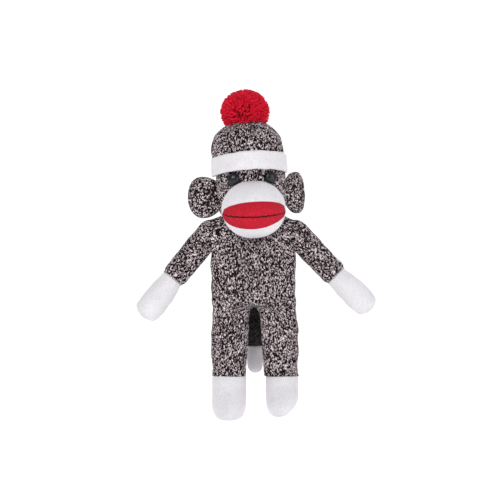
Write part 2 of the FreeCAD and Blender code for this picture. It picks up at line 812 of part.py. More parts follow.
def check_model():
    """Stops if a feature failed, or if a sub-part isn't made of closed, valid solids."""
    broken = [o.Name for o in doc.Objects if "Invalid" in o.State or "Error" in o.State]
    if broken:
        raise RuntimeError(f"these features failed: {broken}")
    for label, (made, _) in nodes.items():
        shape = made.Shape
        if shape.isNull() or not shape.isValid() or not shape.Solids or shape.Volume <= 0:
            raise RuntimeError(f"{label} is not a valid solid")


def write_parts():
    os.makedirs("parts", exist_ok=True)
    for name in os.listdir("parts"):
        os.remove(os.path.join("parts", name))
    for label, (made, _) in nodes.items():
        made.Shape.exportStep(os.path.join("parts", f"{label}.step"))
        box = made.Shape.BoundBox
        print(
            f"{label:24s} solids {len(made.Shape.Solids)}  volume {made.Shape.Volume / 1000:8.2f} cm3"
            f"  x {box.XMin:7.1f} {box.XMax:7.1f}  y {box.YMin:7.1f} {box.YMax:7.1f}  z {box.ZMin:7.1f} {box.ZMax:7.1f}"
        )


fill_sheet()
make_trunk()
make_head()
make_limbs()
doc.recompute()
place_nodes()
check_model()
write_parts()
print(f"{len(nodes)} sub-parts")
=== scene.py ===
import math

import bpy
import numpy as np
from mathutils import Matrix, Vector
from mathutils.bvhtree import BVHTree


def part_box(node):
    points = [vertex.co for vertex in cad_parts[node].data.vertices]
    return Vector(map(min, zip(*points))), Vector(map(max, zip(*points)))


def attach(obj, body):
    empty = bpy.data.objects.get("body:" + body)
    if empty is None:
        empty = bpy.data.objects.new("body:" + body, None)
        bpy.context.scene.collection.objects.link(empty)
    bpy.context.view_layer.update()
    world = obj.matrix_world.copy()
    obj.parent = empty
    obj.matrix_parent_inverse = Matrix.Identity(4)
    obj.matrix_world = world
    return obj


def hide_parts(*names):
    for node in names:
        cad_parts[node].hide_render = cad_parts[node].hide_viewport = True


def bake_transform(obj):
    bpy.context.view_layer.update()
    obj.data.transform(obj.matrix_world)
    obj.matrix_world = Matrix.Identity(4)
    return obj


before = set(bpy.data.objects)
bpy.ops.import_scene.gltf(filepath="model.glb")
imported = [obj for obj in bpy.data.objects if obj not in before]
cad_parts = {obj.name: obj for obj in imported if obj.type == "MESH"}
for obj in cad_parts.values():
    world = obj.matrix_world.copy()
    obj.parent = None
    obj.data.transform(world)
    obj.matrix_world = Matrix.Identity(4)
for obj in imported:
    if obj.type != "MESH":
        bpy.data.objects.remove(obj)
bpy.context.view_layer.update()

scene = bpy.context.scene
mm = 0.001
ends = {"left": 1, "right": -1}  # the toy's own left is +X

# where the toy bends and how its head leans, in millimetres and degrees
toy = {
    "middle": (-1.5, 9.5),
    "neck": 247.0,
    "lean": -3.2,
    "turn": 3.0,
    "shoulder": (52.0, 228.0),
    "armAngle": {"left": 43.5, "right": 39.6},
    "hip": 31.4,
    "tail": (1.4, 48.0, 146.0),
}
midX, midY = toy["middle"]


def addObject(name, data):
    made = bpy.data.objects.new(name, data)
    scene.collection.objects.link(made)
    return made


# camera, light and floor
view = {"away": 2.0, "x": -0.0049, "z": 0.2068, "width": 0.61}
camera = addObject("camera", bpy.data.cameras.new("camera"))
camera.location = (view["x"], -view["away"], view["z"])
camera.rotation_euler = (math.radians(90), 0, 0)
camera.data.sensor_width = 36
camera.data.lens = 36 * view["away"] / view["width"]
camera.data.clip_start = 0.05
scene.camera = camera
scene.view_settings.view_transform = "Standard"

lamps = {  # place, size, power
    "keyLamp": ((-0.7, -1.7, 1.2), 1.1, 12),
    "fillLamp": ((1.3, -1.3, 0.6), 1.3, 7),
    "backLamp": ((0.2, 0.9, 1.5), 1.0, 5),
}
for lampName, (place, size, power) in lamps.items():
    lamp = addObject(lampName, bpy.data.lights.new(lampName, "AREA"))
    lamp.data.energy = power
    lamp.data.size = size
    lamp.location = place
    aim = Vector((0, 0, 0.2)) - Vector(place)
    lamp.rotation_euler = aim.to_track_quat("-Z", "Y").to_euler()
world = bpy.data.worlds.new("paleSky")
world.use_nodes = True
skyNodes = world.node_tree
skyNodes.nodes["Background"].inputs["Color"].default_value = (1, 1, 1, 1)
rays = skyNodes.nodes.new("ShaderNodeLightPath")
seen = skyNodes.nodes.new("ShaderNodeMapRange")  # the sky shows as white paper, and lights half as much
seen.inputs["To Min"].default_value = 0.5
seen.inputs["To Max"].default_value = 1.05
skyNodes.links.new(rays.outputs["Is Camera Ray"], seen.inputs["Value"])
skyNodes.links.new(seen.outputs["Result"], skyNodes.nodes["Background"].inputs["Strength"])
scene.world = world

# a wide floor that curves up into a wall behind the toy
stage = {"half": 4.0, "front": -4.0, "back": 2.2, "bend": 1.4, "wall": 4.0, "glow": 0.5}
profile = [(stage["front"], 0.0), (0.0, 0.0), (stage["back"], 0.0)]
profile += [(stage["back"] + stage["bend"] * math.sin(a), stage["bend"] * (1 - math.cos(a)))
            for a in np.radians(np.arange(10, 91, 10))]
profile += [(stage["back"] + stage["bend"], stage["wall"])]
floorPoints = [(x, y, z) for y, z in profile for x in (-stage["half"], stage["half"])]
floorFaces = [(2 * k, 2 * k + 1, 2 * k + 3, 2 * k + 2) for k in range(len(profile) - 1)]
floorMesh = bpy.data.meshes.new("floor")
floorMesh.from_pydata(floorPoints, [], floorFaces)
floorMesh.polygons.foreach_set("use_smooth", [True] * len(floorMesh.polygons))
floor = addObject("floor", floorMesh)
floorPaint = bpy.data.materials.new("floorPaint")
floorPaint.use_nodes = True
floorShader = floorPaint.node_tree.nodes["Principled BSDF"]
floorShader.inputs["Base Color"].default_value = (0.82, 0.82, 0.82, 1)
floorShader.inputs["Roughness"].default_value = 0.9
floorShader.inputs["Emission Color"].default_value = (1, 1, 1, 1)
floorShader.inputs["Emission Strength"].default_value = stage["glow"]
floorMesh.materials.append(floorPaint)
print("camera, light and floor are set")


# small tools for node trees
def addNode(tree, kind, feeds=None, **settings):
    # feeds: what goes into each socket, another node's output or a plain value
    node = tree.nodes.new(kind)
    for word, value in settings.items():
        setattr(node, word, value)
    for word, value in (feeds or {}).items():
        if isinstance(value, bpy.types.NodeSocket):
            tree.links.new(value, node.inputs[word])
        else:
            node.inputs[word].default_value = value
    return node


def calc(tree, operation, *values):
    return addNode(tree, "ShaderNodeMath", dict(enumerate(values)), operation=operation).outputs[0]


def calcVector(tree, operation, *values):
    return addNode(tree, "ShaderNodeVectorMath", dict(enumerate(values)), operation=operation).outputs[0]


def stretched(tree, vector, amount):
    return addNode(tree, "ShaderNodeVectorMath", {0: vector, "Scale": amount}, operation="SCALE").outputs[0]


def stitchShape(tree, wale, course, slant):
    # each wale is a column of V stitches: two yarn legs that rise outwards from its middle
    side = calc(tree, "ABSOLUTE", calc(tree, "MULTIPLY_ADD", calc(tree, "FRACT", wale), 2.0, -1.0))
    legMiddle = calc(tree, "ABSOLUTE", calc(tree, "MULTIPLY_ADD", side, 2.0, -1.0))
    rounded = calc(tree, "POWER", calc(tree, "SUBTRACT", 1.0, legMiddle), 0.6)
    slid = calc(tree, "SUBTRACT", course, calc(tree, "MULTIPLY", side, slant))
    along = calc(tree, "FRACT", slid)
    bulge = calc(tree, "POWER", calc(tree, "SINE", calc(tree, "MULTIPLY", along, math.pi)), 0.7)
    height = calc(tree, "MULTIPLY", rounded, calc(tree, "MULTIPLY_ADD", bulge, 0.45, 0.55))
    return height, side, slid, along


def socketOf(tree, name):
    return [s.identifier for s in tree.interface.items_tree if s.name == name and s.in_out == "INPUT"][0]


def newTree(name, inputs):
    tree = bpy.data.node_groups.new(name, "GeometryNodeTree")
    tree.interface.new_socket("Geometry", in_out="INPUT", socket_type="NodeSocketGeometry")
    for word, kind in inputs.items():
        tree.interface.new_socket(word, in_out="INPUT", socket_type=kind)
    tree.interface.new_socket("Geometry", in_out="OUTPUT", socket_type="NodeSocketGeometry")
    return tree, addNode(tree, "NodeGroupInput"), addNode(tree, "NodeGroupOutput")


def finishTree(tree, made, inner, outer):
    real = addNode(tree, "GeometryNodeRealizeInstances", {"Geometry": made})
    paint = addNode(tree, "GeometryNodeSetMaterial",
                    {"Geometry": real.outputs[0], "Material": inner.outputs["Material"]})
    tree.links.new(paint.outputs[0], outer.inputs["Geometry"])


def bake(piece, tree, values, name):
    # runs the tree on the piece and returns the result as a plain mesh object
    modifier = piece.modifiers.new(tree.name, "NODES")
    modifier.node_group = tree
    for word, value in values.items():
        modifier[socketOf(tree, word)] = value
    piece.update_tag()
    bpy.context.view_layer.update()
    depsgraph = bpy.context.evaluated_depsgraph_get()
    mesh = bpy.data.meshes.new_from_object(piece.evaluated_get(depsgraph))
    bpy.data.meshes.remove(piece.data)  # its object goes with it
    mesh.name = name
    return addObject(name, mesh)


# materials
def colour(*parts):
    return tuple(((v / 255 + 0.055) / 1.055) ** 2.4 if v > 10 else v / 255 / 12.92 for v in parts) + (1,)


def blankPaint(name, **values):
    paint = bpy.data.materials.new(name)
    paint.use_nodes = True
    shader = paint.node_tree.nodes["Principled BSDF"]
    for word, value in values.items():
        shader.inputs[word].default_value = value
    return paint, paint.node_tree, shader


def ramp(tree, factor, *stops):
    node = addNode(tree, "ShaderNodeValToRGB")
    while len(node.color_ramp.elements) < len(stops):
        node.color_ramp.elements.new(0.5)
    for element, (place, tint) in zip(node.color_ramp.elements, stops):
        element.position = place
        element.color = tint
    tree.links.new(factor, node.inputs["Fac"])
    return node.outputs["Color"]


def noise(tree, scale, detail=2.0, where=None):
    spot = where or addNode(tree, "ShaderNodeTexCoord").outputs["Object"]
    node = addNode(tree, "ShaderNodeTexNoise", {"Vector": spot, "Scale": scale, "Detail": detail})
    return node.outputs["Fac"]


def bump(tree, shader, height, distance, strength=1.0):
    node = addNode(tree, "ShaderNodeBump", {"Distance": distance, "Strength": strength, "Height": height})
    tree.links.new(node.outputs["Normal"], shader.inputs["Normal"])


knits = {
    # dark, middle and light yarn and where each begins, slant of the stitch, depth of the bump, how strongly
    # stitches and plies differ, shade between stitches, how far one yarn runs on
    "marlKnit": {"tints": (colour(22, 5, 9), colour(90, 56, 61), colour(255, 240, 244)), "stops": (0.615, 0.665, 0.72),
                 "slant": 0.62, "relief": 0.45, "mix": (0.86, 0.2), "shade": (0.5, 0.6), "runs": 0.4},
    "darkKnit": {"tints": (colour(24, 22, 23), colour(46, 42, 44), colour(128, 122, 124)), "stops": (0.40, 0.62, 0.86),
                 "slant": 0.62, "relief": 0.5, "mix": (0.5, 0.5), "shade": (0.42, 0.62), "runs": 0.3},
    "whiteKnit": {"tints": (colour(216, 212, 217), colour(234, 231, 236), colour(246, 244, 247)),
                  "stops": (0.0, 0.45, 1.0), "slant": 0.5, "relief": 0.3, "mix": (0.5, 0.5),
                  "shade": (0.26, 0.84), "runs": 0.1},
    "redKnit": {"tints": (colour(154, 14, 32), colour(200, 26, 48), colour(218, 43, 63)),
                "stops": (0.0, 0.5, 1.0), "slant": 0.5, "relief": 0.3, "mix": (0.5, 0.5),
                "shade": (0.3, 0.78), "runs": 0.1},
}


def knitPaint(name):
    facts = knits[name]
    paint, tree, shader = blankPaint(name, Roughness=0.88)
    shader.inputs["Specular IOR Level"].default_value = 0.12
    shader.inputs["Sheen Weight"].default_value = 0.06
    shader.inputs["Sheen Roughness"].default_value = 0.6
    spot = addNode(tree, "ShaderNodeUVMap", uv_map="knit").outputs["UV"]
    split = addNode(tree, "ShaderNodeSeparateXYZ", {0: spot})
    wale, course = split.outputs[0], split.outputs[1]
    height, side, slid, along = stitchShape(tree, wale, course, facts["slant"])
    picks = []
    for legs, share in ((1.0, 0.35), (2.0, 0.65)):  # one chance for the whole stitch, one for each of its legs
        across = calc(tree, "FLOOR", calc(tree, "MULTIPLY", wale, legs))
        cell = addNode(tree, "ShaderNodeCombineXYZ", {0: across, 1: calc(tree, "FLOOR", slid)})
        pick = addNode(tree, "ShaderNodeTexWhiteNoise", {"Vector": cell.outputs[0]}, noise_dimensions="2D")
        picks.append(calc(tree, "MULTIPLY", pick.outputs["Value"], share))
    chance = calc(tree, "ADD", *picks)
    # two plies twist round each other along every leg
    turnAt = calc(tree, "ADD", calc(tree, "ADD", along, calc(tree, "MULTIPLY", side, 1.3)), chance)
    ply = calc(tree, "MULTIPLY_ADD", calc(tree, "SINE", calc(tree, "MULTIPLY", turnAt, math.tau)), 0.5, 0.5)
    strength = calc(tree, "ADD", calc(tree, "MULTIPLY", chance, facts["mix"][0]),
                    calc(tree, "MULTIPLY", ply, facts["mix"][1]))
    fluff = noise(tree, 1400.0, 3.0)
    strength = calc(tree, "ADD", strength, calc(tree, "MULTIPLY_ADD", fluff, 0.24, -0.12))
    # the same yarn often shows in neighbouring stitches
    run = calc(tree, "MULTIPLY_ADD", noise(tree, 0.55, 1.0, spot), facts["runs"], -facts["runs"] / 2)
    strength = calc(tree, "ADD", strength, run)
    yarn = ramp(tree, strength, *zip(facts["stops"], facts["tints"]))
    # the gaps between the legs are in shade, and the whole cloth is a little uneven
    shade = calc(tree, "MULTIPLY_ADD", height, *facts["shade"])
    patch = calc(tree, "MULTIPLY_ADD", noise(tree, 34.0, 2.0), 0.16, 0.92)
    tree.links.new(stretched(tree, yarn, calc(tree, "MULTIPLY", shade, patch)), shader.inputs["Base Color"])
    rough = calc(tree, "ADD", height, calc(tree, "MULTIPLY", fluff, 0.45))
    bump(tree, shader, rough, facts["relief"] * mm, 0.8)
    return paint


def yarnPaint(name, low, middle, high):
    paint, tree, shader = blankPaint(name, Roughness=0.8)
    shader.inputs["Sheen Weight"].default_value = 0.04
    shader.inputs["Specular IOR Level"].default_value = 0.1
    blotch = calc(tree, "ADD", calc(tree, "MULTIPLY", noise(tree, 160.0, 2.0), 0.7),
                  calc(tree, "MULTIPLY", noise(tree, 1500.0), 0.3))
    tree.links.new(ramp(tree, blotch, (0.3, low), (0.5, middle), (0.7, high)), shader.inputs["Base Color"])
    bump(tree, shader, noise(tree, 2600.0, 2.0), 0.3 * mm)
    return paint


marlPaint, darkPaint, whitePaint, redPaint = (knitPaint(name) for name in knits)
pomPaint = yarnPaint("redYarn", colour(184, 10, 36), colour(224, 20, 52), colour(244, 36, 68))
threadPaint = yarnPaint("brownThread", colour(40, 26, 26), colour(62, 44, 42), colour(84, 62, 58))
mouthPaint = yarnPaint("blackThread", colour(14, 10, 12), colour(26, 18, 20), colour(44, 32, 34))
eyePaint, eyeTree, eyeShader = blankPaint("blackPlastic", Roughness=0.12)
eyeShader.inputs["Specular IOR Level"].default_value = 0.45
eyeTint = ramp(eyeTree, noise(eyeTree, 420.0), (0.35, colour(9, 10, 15)), (0.65, colour(16, 18, 28)))
eyeTree.links.new(eyeTint, eyeShader.inputs["Base Color"])
bump(eyeTree, eyeShader, noise(eyeTree, 180.0), 0.03 * mm, 0.1)
print("knit, yarn, thread and plastic are mixed")

# the relief of every knitted cover: offsets each point outwards by the height of its stitch
reliefTree, inner, outer = newTree("knitRelief", {
    "Stitch depth": "NodeSocketFloat", "Stitch slant": "NodeSocketFloat", "Material": "NodeSocketMaterial"})
named = {word: addNode(reliefTree, "GeometryNodeInputNamedAttribute", {"Name": word}, data_type=kind).outputs[0]
         for word, kind in {"wale": "FLOAT", "course": "FLOAT", "fade": "FLOAT", "outward": "FLOAT_VECTOR"}.items()}
relief = stitchShape(reliefTree, named["wale"], named["course"], inner.outputs["Stitch slant"])[0]
lift = calc(reliefTree, "MULTIPLY", calc(reliefTree, "MULTIPLY", relief, named["fade"]), inner.outputs["Stitch depth"])
move = addNode(reliefTree, "GeometryNodeSetPosition",
               {"Geometry": inner.outputs["Geometry"], "Offset": stretched(reliefTree, named["outward"], lift)})
finishTree(reliefTree, move.outputs[0], inner, outer)


# cages: smooth forms as grids of points, in millimetres, stuffed by simulation
def curveThrough(places, values, where):
    places, values = np.asarray(places, float), np.asarray(values, float)
    slopes = np.gradient(values, places, axis=0)
    i = np.clip(np.searchsorted(places, where, "right") - 1, 0, len(places) - 2)
    span = (places[i + 1] - places[i])[..., None]
    t = np.clip((where - places[i])[..., None] / span, 0, 1)
    return ((2 * t**3 - 3 * t**2 + 1) * values[i] + (t**3 - 2 * t**2 + t) * span * slopes[i]
            + (3 * t**2 - 2 * t**3) * values[i + 1] + (t**3 - t**2) * span * slopes[i + 1])


def profileAt(keys, where):
    return curveThrough([k[0] for k in keys], [k[1:] for k in keys], where)


def domed(keys, start=None, end=None):
    # adds rings that round a tube's ends off; keys are (place, half width, half depth, side shift, front shift)
    keys = [tuple(k) + (0.0,) * (5 - len(k)) for k in keys]

    def rings(key, high, way):
        return [(key[0] + way * high * math.sin(a), key[1] * math.cos(a), key[2] * math.cos(a), key[3], key[4])
                for a in (math.radians(d) for d in (22, 44, 64, 80, 88.5))]

    if start:
        keys = rings(keys[0], start, -1)[::-1] + keys
    if end:
        keys = keys + rings(keys[-1], end, 1)
    return np.array(keys)


def ringCage(keys, step, columns, origin, side, front, along, power=2.0):
    # rows of rings every step along the surface; angle 0 looks to the front and goes round by the side
    keys = np.asarray(keys, float)
    chord = np.concatenate([[0], np.cumsum(np.hypot(np.diff(keys[:, 0]), np.diff(keys[:, 1])) + 1e-6)])
    fine = curveThrough(chord, keys, np.linspace(0, chord[-1], 900))
    length = np.concatenate([[0], np.cumsum(np.hypot(np.diff(fine[:, 0]), np.diff(fine[:, 1:3].mean(1))))])
    count = max(6, int(round(length[-1] / step)) + 1)
    at = np.linspace(0, length[-1], count)
    rows = np.stack([np.interp(at, length, fine[:, k]) for k in range(5)], 1)
    angle = np.arange(columns) / columns * math.tau
    c, s = np.cos(angle), np.sin(angle)
    bulge = (np.abs(c) ** power + np.abs(s) ** power) ** (-1 / power)
    side, front, along = (np.array(v, float) for v in (side, front, along))
    return (np.array(origin, float) + rows[:, 0, None, None] * along
            + ((rows[:, 1, None] * s * bulge + rows[:, 3, None])[..., None]) * side
            + ((rows[:, 2, None] * c * bulge + rows[:, 4, None])[..., None]) * front)


def lumps(points, size, seed):
    # the soft unevenness that hand stuffing leaves
    rng = np.random.default_rng(seed)
    total = np.zeros(points.shape[:-1])
    for scale in (16.0, 16.0, 26.0, 26.0, 40.0):
        way = rng.normal(size=3)
        way /= np.linalg.norm(way) * scale / math.tau
        total += np.sin(points @ way + rng.uniform(0, math.tau))
    return total / 3.2 * size


def gridFaces(rows, columns, closed=True):
    r = np.arange(rows - 1)[:, None]
    c = np.arange(columns if closed else columns - 1)[None, :]
    d = (c + 1) % columns
    return np.stack([r * columns + c, (r + 1) * columns + c, (r + 1) * columns + d, r * columns + d], -1).reshape(-1, 4)


def normalsOf(grid):
    wrap = np.concatenate([grid[:, -1:], grid, grid[:, :1]], 1)
    n = np.cross(np.gradient(grid, axis=0), wrap[:, 2:] - wrap[:, :-2])
    return n / (np.linalg.norm(n, axis=-1, keepdims=True) + 1e-9)


cages = {}  # every pad's points, and how its filling is held


def addCage(name, grid, pinned=(0, 0), cap=2.0, seed=1, shrink=0.8, lumpy=0.5):
    # pinned: how many rows at each end are held by a seam
    grid = grid + normalsOf(grid) * (lumps(grid, lumpy, seed) - shrink)[..., None]
    cages[name] = {"grid": grid, "pinned": pinned, "cap": cap}


cloth = {"frames": 14, "pressure": 3.0, "stretch": 18.0, "bend": 2.0}


def stuffAll():
    # pumps every cage up together, without gravity, and takes where its points end
    made = {}
    for name, cage in cages.items():
        grid = cage["grid"]
        if "faces" in cage:
            points, faces, held = grid, cage["faces"], cage["held"]
        else:
            rows, columns = grid.shape[:2]
            points = np.concatenate([grid.reshape(-1, 3), grid[[0, -1]].mean(1)])
            count, last = rows * columns, (rows - 1) * columns
            faces = gridFaces(rows, columns).tolist()
            faces += [(count, c, (c + 1) % columns) for c in range(columns)]
            faces += [(count + 1, last + (c + 1) % columns, last + c) for c in range(columns)]
            first, final = cage["pinned"]
            held = list(range(first * columns)) + list(range((rows - final) * columns, count))
        mesh = bpy.data.meshes.new("pad_" + name)
        mesh.from_pydata((points * mm).tolist(), [], faces)
        pad = addObject("pad_" + name, mesh)
        group = pad.vertex_groups.new(name="held")
        if held:
            group.add([int(v) for v in held], 1.0, "ADD")
        modifier = pad.modifiers.new("fill", "CLOTH")
        settings = modifier.settings
        settings.quality = 5
        settings.mass = 0.2
        settings.tension_stiffness = settings.compression_stiffness = cloth["stretch"]
        settings.shear_stiffness = cloth["stretch"] / 2
        settings.bending_stiffness = cloth["bend"]
        settings.use_pressure = True
        settings.uniform_pressure_force = cloth["pressure"]
        settings.effector_weights.gravity = 0
        if held:
            settings.vertex_group_mass = "held"
        modifier.collision_settings.use_collision = False
        modifier.point_cache.frame_start = 1
        modifier.point_cache.frame_end = cloth["frames"]
        made[name] = pad
    for step in range(1, cloth["frames"] + 1):
        scene.frame_set(step)
    depsgraph = bpy.context.evaluated_depsgraph_get()
    for name, pad in made.items():
        cage = cages[name]
        grid = cage["grid"]
        mesh = pad.evaluated_get(depsgraph).data
        where = np.zeros(len(mesh.vertices) * 3, np.float32)
        mesh.vertices.foreach_get("co", where)
        where = where.reshape(-1, 3)[: grid.size // 3].reshape(grid.shape) / mm
        moved = where - grid
        far = np.linalg.norm(moved, axis=-1, keepdims=True)
        moved = moved / np.maximum(far, 1e-6) * cage["cap"] * np.tanh(far / cage["cap"])
        cage["grid"] = grid + moved
        bpy.data.meshes.remove(pad.data)  # its object goes with it
    scene.frame_set(1)


# knitted covers: a dense grid on a cage, with its wales and courses
def weave(grid, rows, columns):
    # a smooth sheet through a grid that is padded by one point all round
    def along(places, count):
        i = np.clip(np.floor(places + 1e-9).astype(int), 0, count - 2)
        t = places - i
        weights = np.stack([(-t + 2 * t**2 - t**3) / 2, (2 - 5 * t**2 + 3 * t**3) / 2,
                            (t + 4 * t**2 - 3 * t**3) / 2, (t**3 - t**2) / 2], -1)
        slopes = np.stack([(-1 + 4 * t - 3 * t**2) / 2, (-10 * t + 9 * t**2) / 2,
                           (1 + 8 * t - 9 * t**2) / 2, (3 * t**2 - 2 * t) / 2], -1)
        return i[:, None] + np.arange(4), weights, slopes

    ri, rw, rs = along(rows, grid.shape[0] - 2)
    ci, cw, cs = along(columns, grid.shape[1] - 2)
    picked = grid[ri]
    across, slope = np.einsum("rk,rkcj->rcj", rw, picked), np.einsum("rk,rkcj->rcj", rs, picked)
    place = np.einsum("ck,rckj->rcj", cw, across[:, ci])
    du = np.einsum("ck,rckj->rcj", cs, across[:, ci])
    dv = np.einsum("ck,rckj->rcj", cw, slope[:, ci])
    outward = np.cross(dv, du)
    outward /= np.linalg.norm(outward, axis=-1, keepdims=True) + 1e-9
    return place, outward, np.linalg.norm(du, axis=-1)


def padRows(grid):
    return np.concatenate([2 * grid[:1] - grid[1:2], grid, 2 * grid[-1:] - grid[-2:-1]], 0)


gauge = {  # wale and course size in millimetres, depth of the relief
    "marl": {"wale": 1.9, "course": 1.5, "depth": 0.55, "slant": 0.62, "paint": marlPaint},
    "dark": {"wale": 1.9, "course": 1.5, "depth": 0.55, "slant": 0.62, "paint": darkPaint},
    "white": {"wale": 1.9, "course": 1.6, "depth": 0.32, "slant": 0.5, "paint": whitePaint},
    "red": {"wale": 1.9, "course": 1.6, "depth": 0.3, "slant": 0.5, "paint": redPaint},
}
pointsAcross, pointsAlong = 4, 2  # how finely each stitch is drawn


def coverMesh(name, place, outward, wale, course, fade, closed, tips, knit):
    # closed: the grid joins up into a tube; tips: its two ends are shut
    rows, columns = place.shape[:2]
    count, last = rows * columns, (rows - 1) * columns
    across = columns if closed else columns - 1
    cornerWale = np.append(wale, wale[-1] + wale[1] - wale[0]) if closed else wale
    c, r = np.tile(np.arange(across), rows - 1), np.repeat(np.arange(rows - 1), across)
    uv = np.stack([cornerWale[[c, c, c + 1, c + 1]], course[[r, r + 1, r + 1, r]]], -1).swapaxes(0, 1).reshape(-1, 2)
    faces = gridFaces(rows, columns, closed).tolist()
    points, outAll, fadeAll = place.reshape(-1, 3), outward.reshape(-1, 3), fade.reshape(-1)
    waleAll, courseAll = np.tile(wale, rows), np.repeat(course, columns)
    if tips:
        points = np.concatenate([points, place[[0, -1]].mean(1)])
        outAll = np.concatenate([outAll, outward[[0, -1]].mean(1)])
        corners = []
        for c in range(columns):
            d = (c + 1) % columns
            faces.append((count, c, d))
            corners += [(cornerWale[c], course[0])] * 3
        for c in range(columns):
            d = (c + 1) % columns
            faces.append((count + 1, last + d, last + c))
            corners += [(cornerWale[c], course[-1])] * 3
        waleAll, courseAll = np.append(waleAll, [0.5, 0.5]), np.append(courseAll, [course[0], course[-1]])
        fadeAll = np.append(fadeAll, [0, 0])
        uv = np.concatenate([uv, np.array(corners)])
    mesh = bpy.data.meshes.new(name)
    mesh.from_pydata((points * mm).tolist(), [], faces)
    mesh.uv_layers.new(name="knit").data.foreach_set("uv", uv.astype(np.float32).ravel())
    for word, values in {"wale": waleAll, "course": courseAll, "fade": fadeAll}.items():
        mesh.attributes.new(word, "FLOAT", "POINT").data.foreach_set("value", values.astype(np.float32))
    outAll = outAll.astype(np.float32).ravel()
    mesh.attributes.new("outward", "FLOAT_VECTOR", "POINT").data.foreach_set("vector", outAll)
    mesh.polygons.foreach_set("use_smooth", [True] * len(mesh.polygons))
    facts = gauge[knit]
    piece = bake(addObject(name, mesh), reliefTree, {
        "Stitch depth": facts["depth"] * mm, "Stitch slant": facts["slant"], "Material": facts["paint"]}, name)
    for word in ("wale", "course", "fade", "outward"):
        piece.data.attributes.remove(piece.data.attributes[word])
    return piece


def courseLength(grid):
    # length along the surface from row to row
    return np.concatenate([[0], np.cumsum(np.linalg.norm(np.diff(grid, axis=0), axis=-1).mean(1))])


def coursesOn(grid, knit):
    # how many courses fit on the grid, and the grid row of each drawn row
    length = courseLength(grid)
    courses = max(3, int(round(length[-1] / gauge[knit]["course"])))
    return courses, np.interp(np.linspace(0, length[-1], courses * pointsAlong + 1), length, np.arange(len(grid)))


def knitCover(name, grid, knit, wales):
    _, rows = coursesOn(grid, knit)
    columnCount = wales * pointsAcross
    columns = np.arange(columnCount) / columnCount * grid.shape[1]
    padded = padRows(np.concatenate([grid[:, -1:], grid, grid[:, :2]], 1))
    place, outward, stretch = weave(padded, rows, columns)
    width = stretch * grid.shape[1] / wales
    wale = gauge[knit]["wale"]
    fade = np.clip((width - 0.25 * wale) / (0.6 * wale), 0, 1)
    course = -np.arange(len(rows)) / pointsAlong
    return coverMesh(name, place, outward, np.arange(columnCount) / pointsAcross, course, fade, True, True, knit)


def finish(piece, nodes, ride=None, bend=None):
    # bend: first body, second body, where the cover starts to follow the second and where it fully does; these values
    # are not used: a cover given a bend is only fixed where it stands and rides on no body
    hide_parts(*nodes)
    if bend:
        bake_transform(piece)
    else:
        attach(piece, ride)


# body and legs: one skin, whose wales run from the collar to the ankles
body = {
    # height, half width, half depth, middle x
    "sections": [(128, 44, 25, 0.3), (140, 51.0, 30.5, 0), (152, 51.3, 33, -0.6), (172, 51.8, 34, -1.0),
                 (200, 51.8, 32.5, -0.6), (218, 50.6, 29.5, -0.8), (232, 49, 26.5, -1.5), (241, 46.5, 23, -1.5),
                 (247, 41, 20, -1.5), (253, 32, 16, -1.5)],
    "square": 2.15,  # 2 is an oval, more is squarer
    "shoulder": (15.8, 8.0),  # the socket's radius, and how softly it melts into the flank
    "bottom": (138.5, 10.0),  # where the trunk ends between the legs, and how softly
    # height and half width, then height and how far out the middle of each leg is
    "leg": [(50, 20.6), (64, 21.0), (90, 22.4), (112, 22.7), (128, 22.6), (140, 22.6), (150, 22.6)],
    "legMiddle": {"left": [(50, 33.2), (90, 32.2), (112, 31.6), (128, 29.6), (140, 26.6), (150, 25)],
                  "right": [(50, 31.0), (90, 30.0), (112, 29.6), (128, 28.6), (140, 26.0), (150, 25)]},
    "legTop": (140.0, 8.0),  # where a leg rounds off inside the trunk, and how softly the two melt
    "split": (152.0, 108.0),  # outer height where the legs begin and where they close
    "ankle": 53.0,
    "step": 4.6,  # from row to row of the pad
    "halfColumns": 28,
    "wales": 142,
}


def shoulderOf(end):
    return np.array([midX + ends[end] * toy["shoulder"][0], midY, toy["shoulder"][1]])


def smoothMin(a, b, k):
    h = np.clip(0.5 + 0.5 * (b - a) / k, 0, 1)
    return b * (1 - h) + a * h - k * h * (1 - h)


def bodyField(points):
    # below zero inside the stuffed body; the legs melt into it
    x, y, z = points[..., 0], points[..., 1], points[..., 2]
    s = profileAt(body["sections"], np.clip(z, 128, 253))
    wide, deep = s[..., 0], s[..., 1]
    square = body["square"]
    reach = (np.abs(x - s[..., 2]) / wide) ** square + (np.abs(y - midY) / deep) ** square
    reach = reach ** (1 / square)
    trunk = (reach - 1) * np.minimum(wide, deep) * 1.15
    trunk = -smoothMin(-trunk, z - body["bottom"][0], body["bottom"][1])
    for end, sign in ends.items():
        socket = np.linalg.norm(points - shoulderOf(end), axis=-1) - body["shoulder"][0]
        trunk = smoothMin(trunk, socket, body["shoulder"][1])
        zl = np.clip(z, 50, 150)
        middle = profileAt(body["legMiddle"][end], zl)[..., 0]
        thick = profileAt(body["leg"], zl)[..., 0]
        up = np.maximum(z - body["legTop"][0], 0)
        leg = np.sqrt((x - sign * middle) ** 2 + (y - midY) ** 2 + up**2) - thick
        trunk = smoothMin(trunk, leg, body["legTop"][1])
    return trunk


def skinAlong(origin, way, far=95.0):
    # the point where the skin is met from the origin along way
    origin, way = np.broadcast_arrays(origin, way)
    reach = np.linspace(0, far, 96)
    inside = bodyField(origin[..., None, :] + way[..., None, :] * reach[:, None]) < 0
    first = np.argmin(inside, -1)
    first = np.where(inside.all(-1), 95, np.maximum(first, 1))
    low, high = reach[first - 1], reach[first]
    for _ in range(14):
        middle = (low + high) / 2
        deep = bodyField(origin + way * middle[..., None]) < 0
        low, high = np.where(deep, middle, low), np.where(deep, high, middle)
    return origin + way * ((low + high) / 2)[..., None]


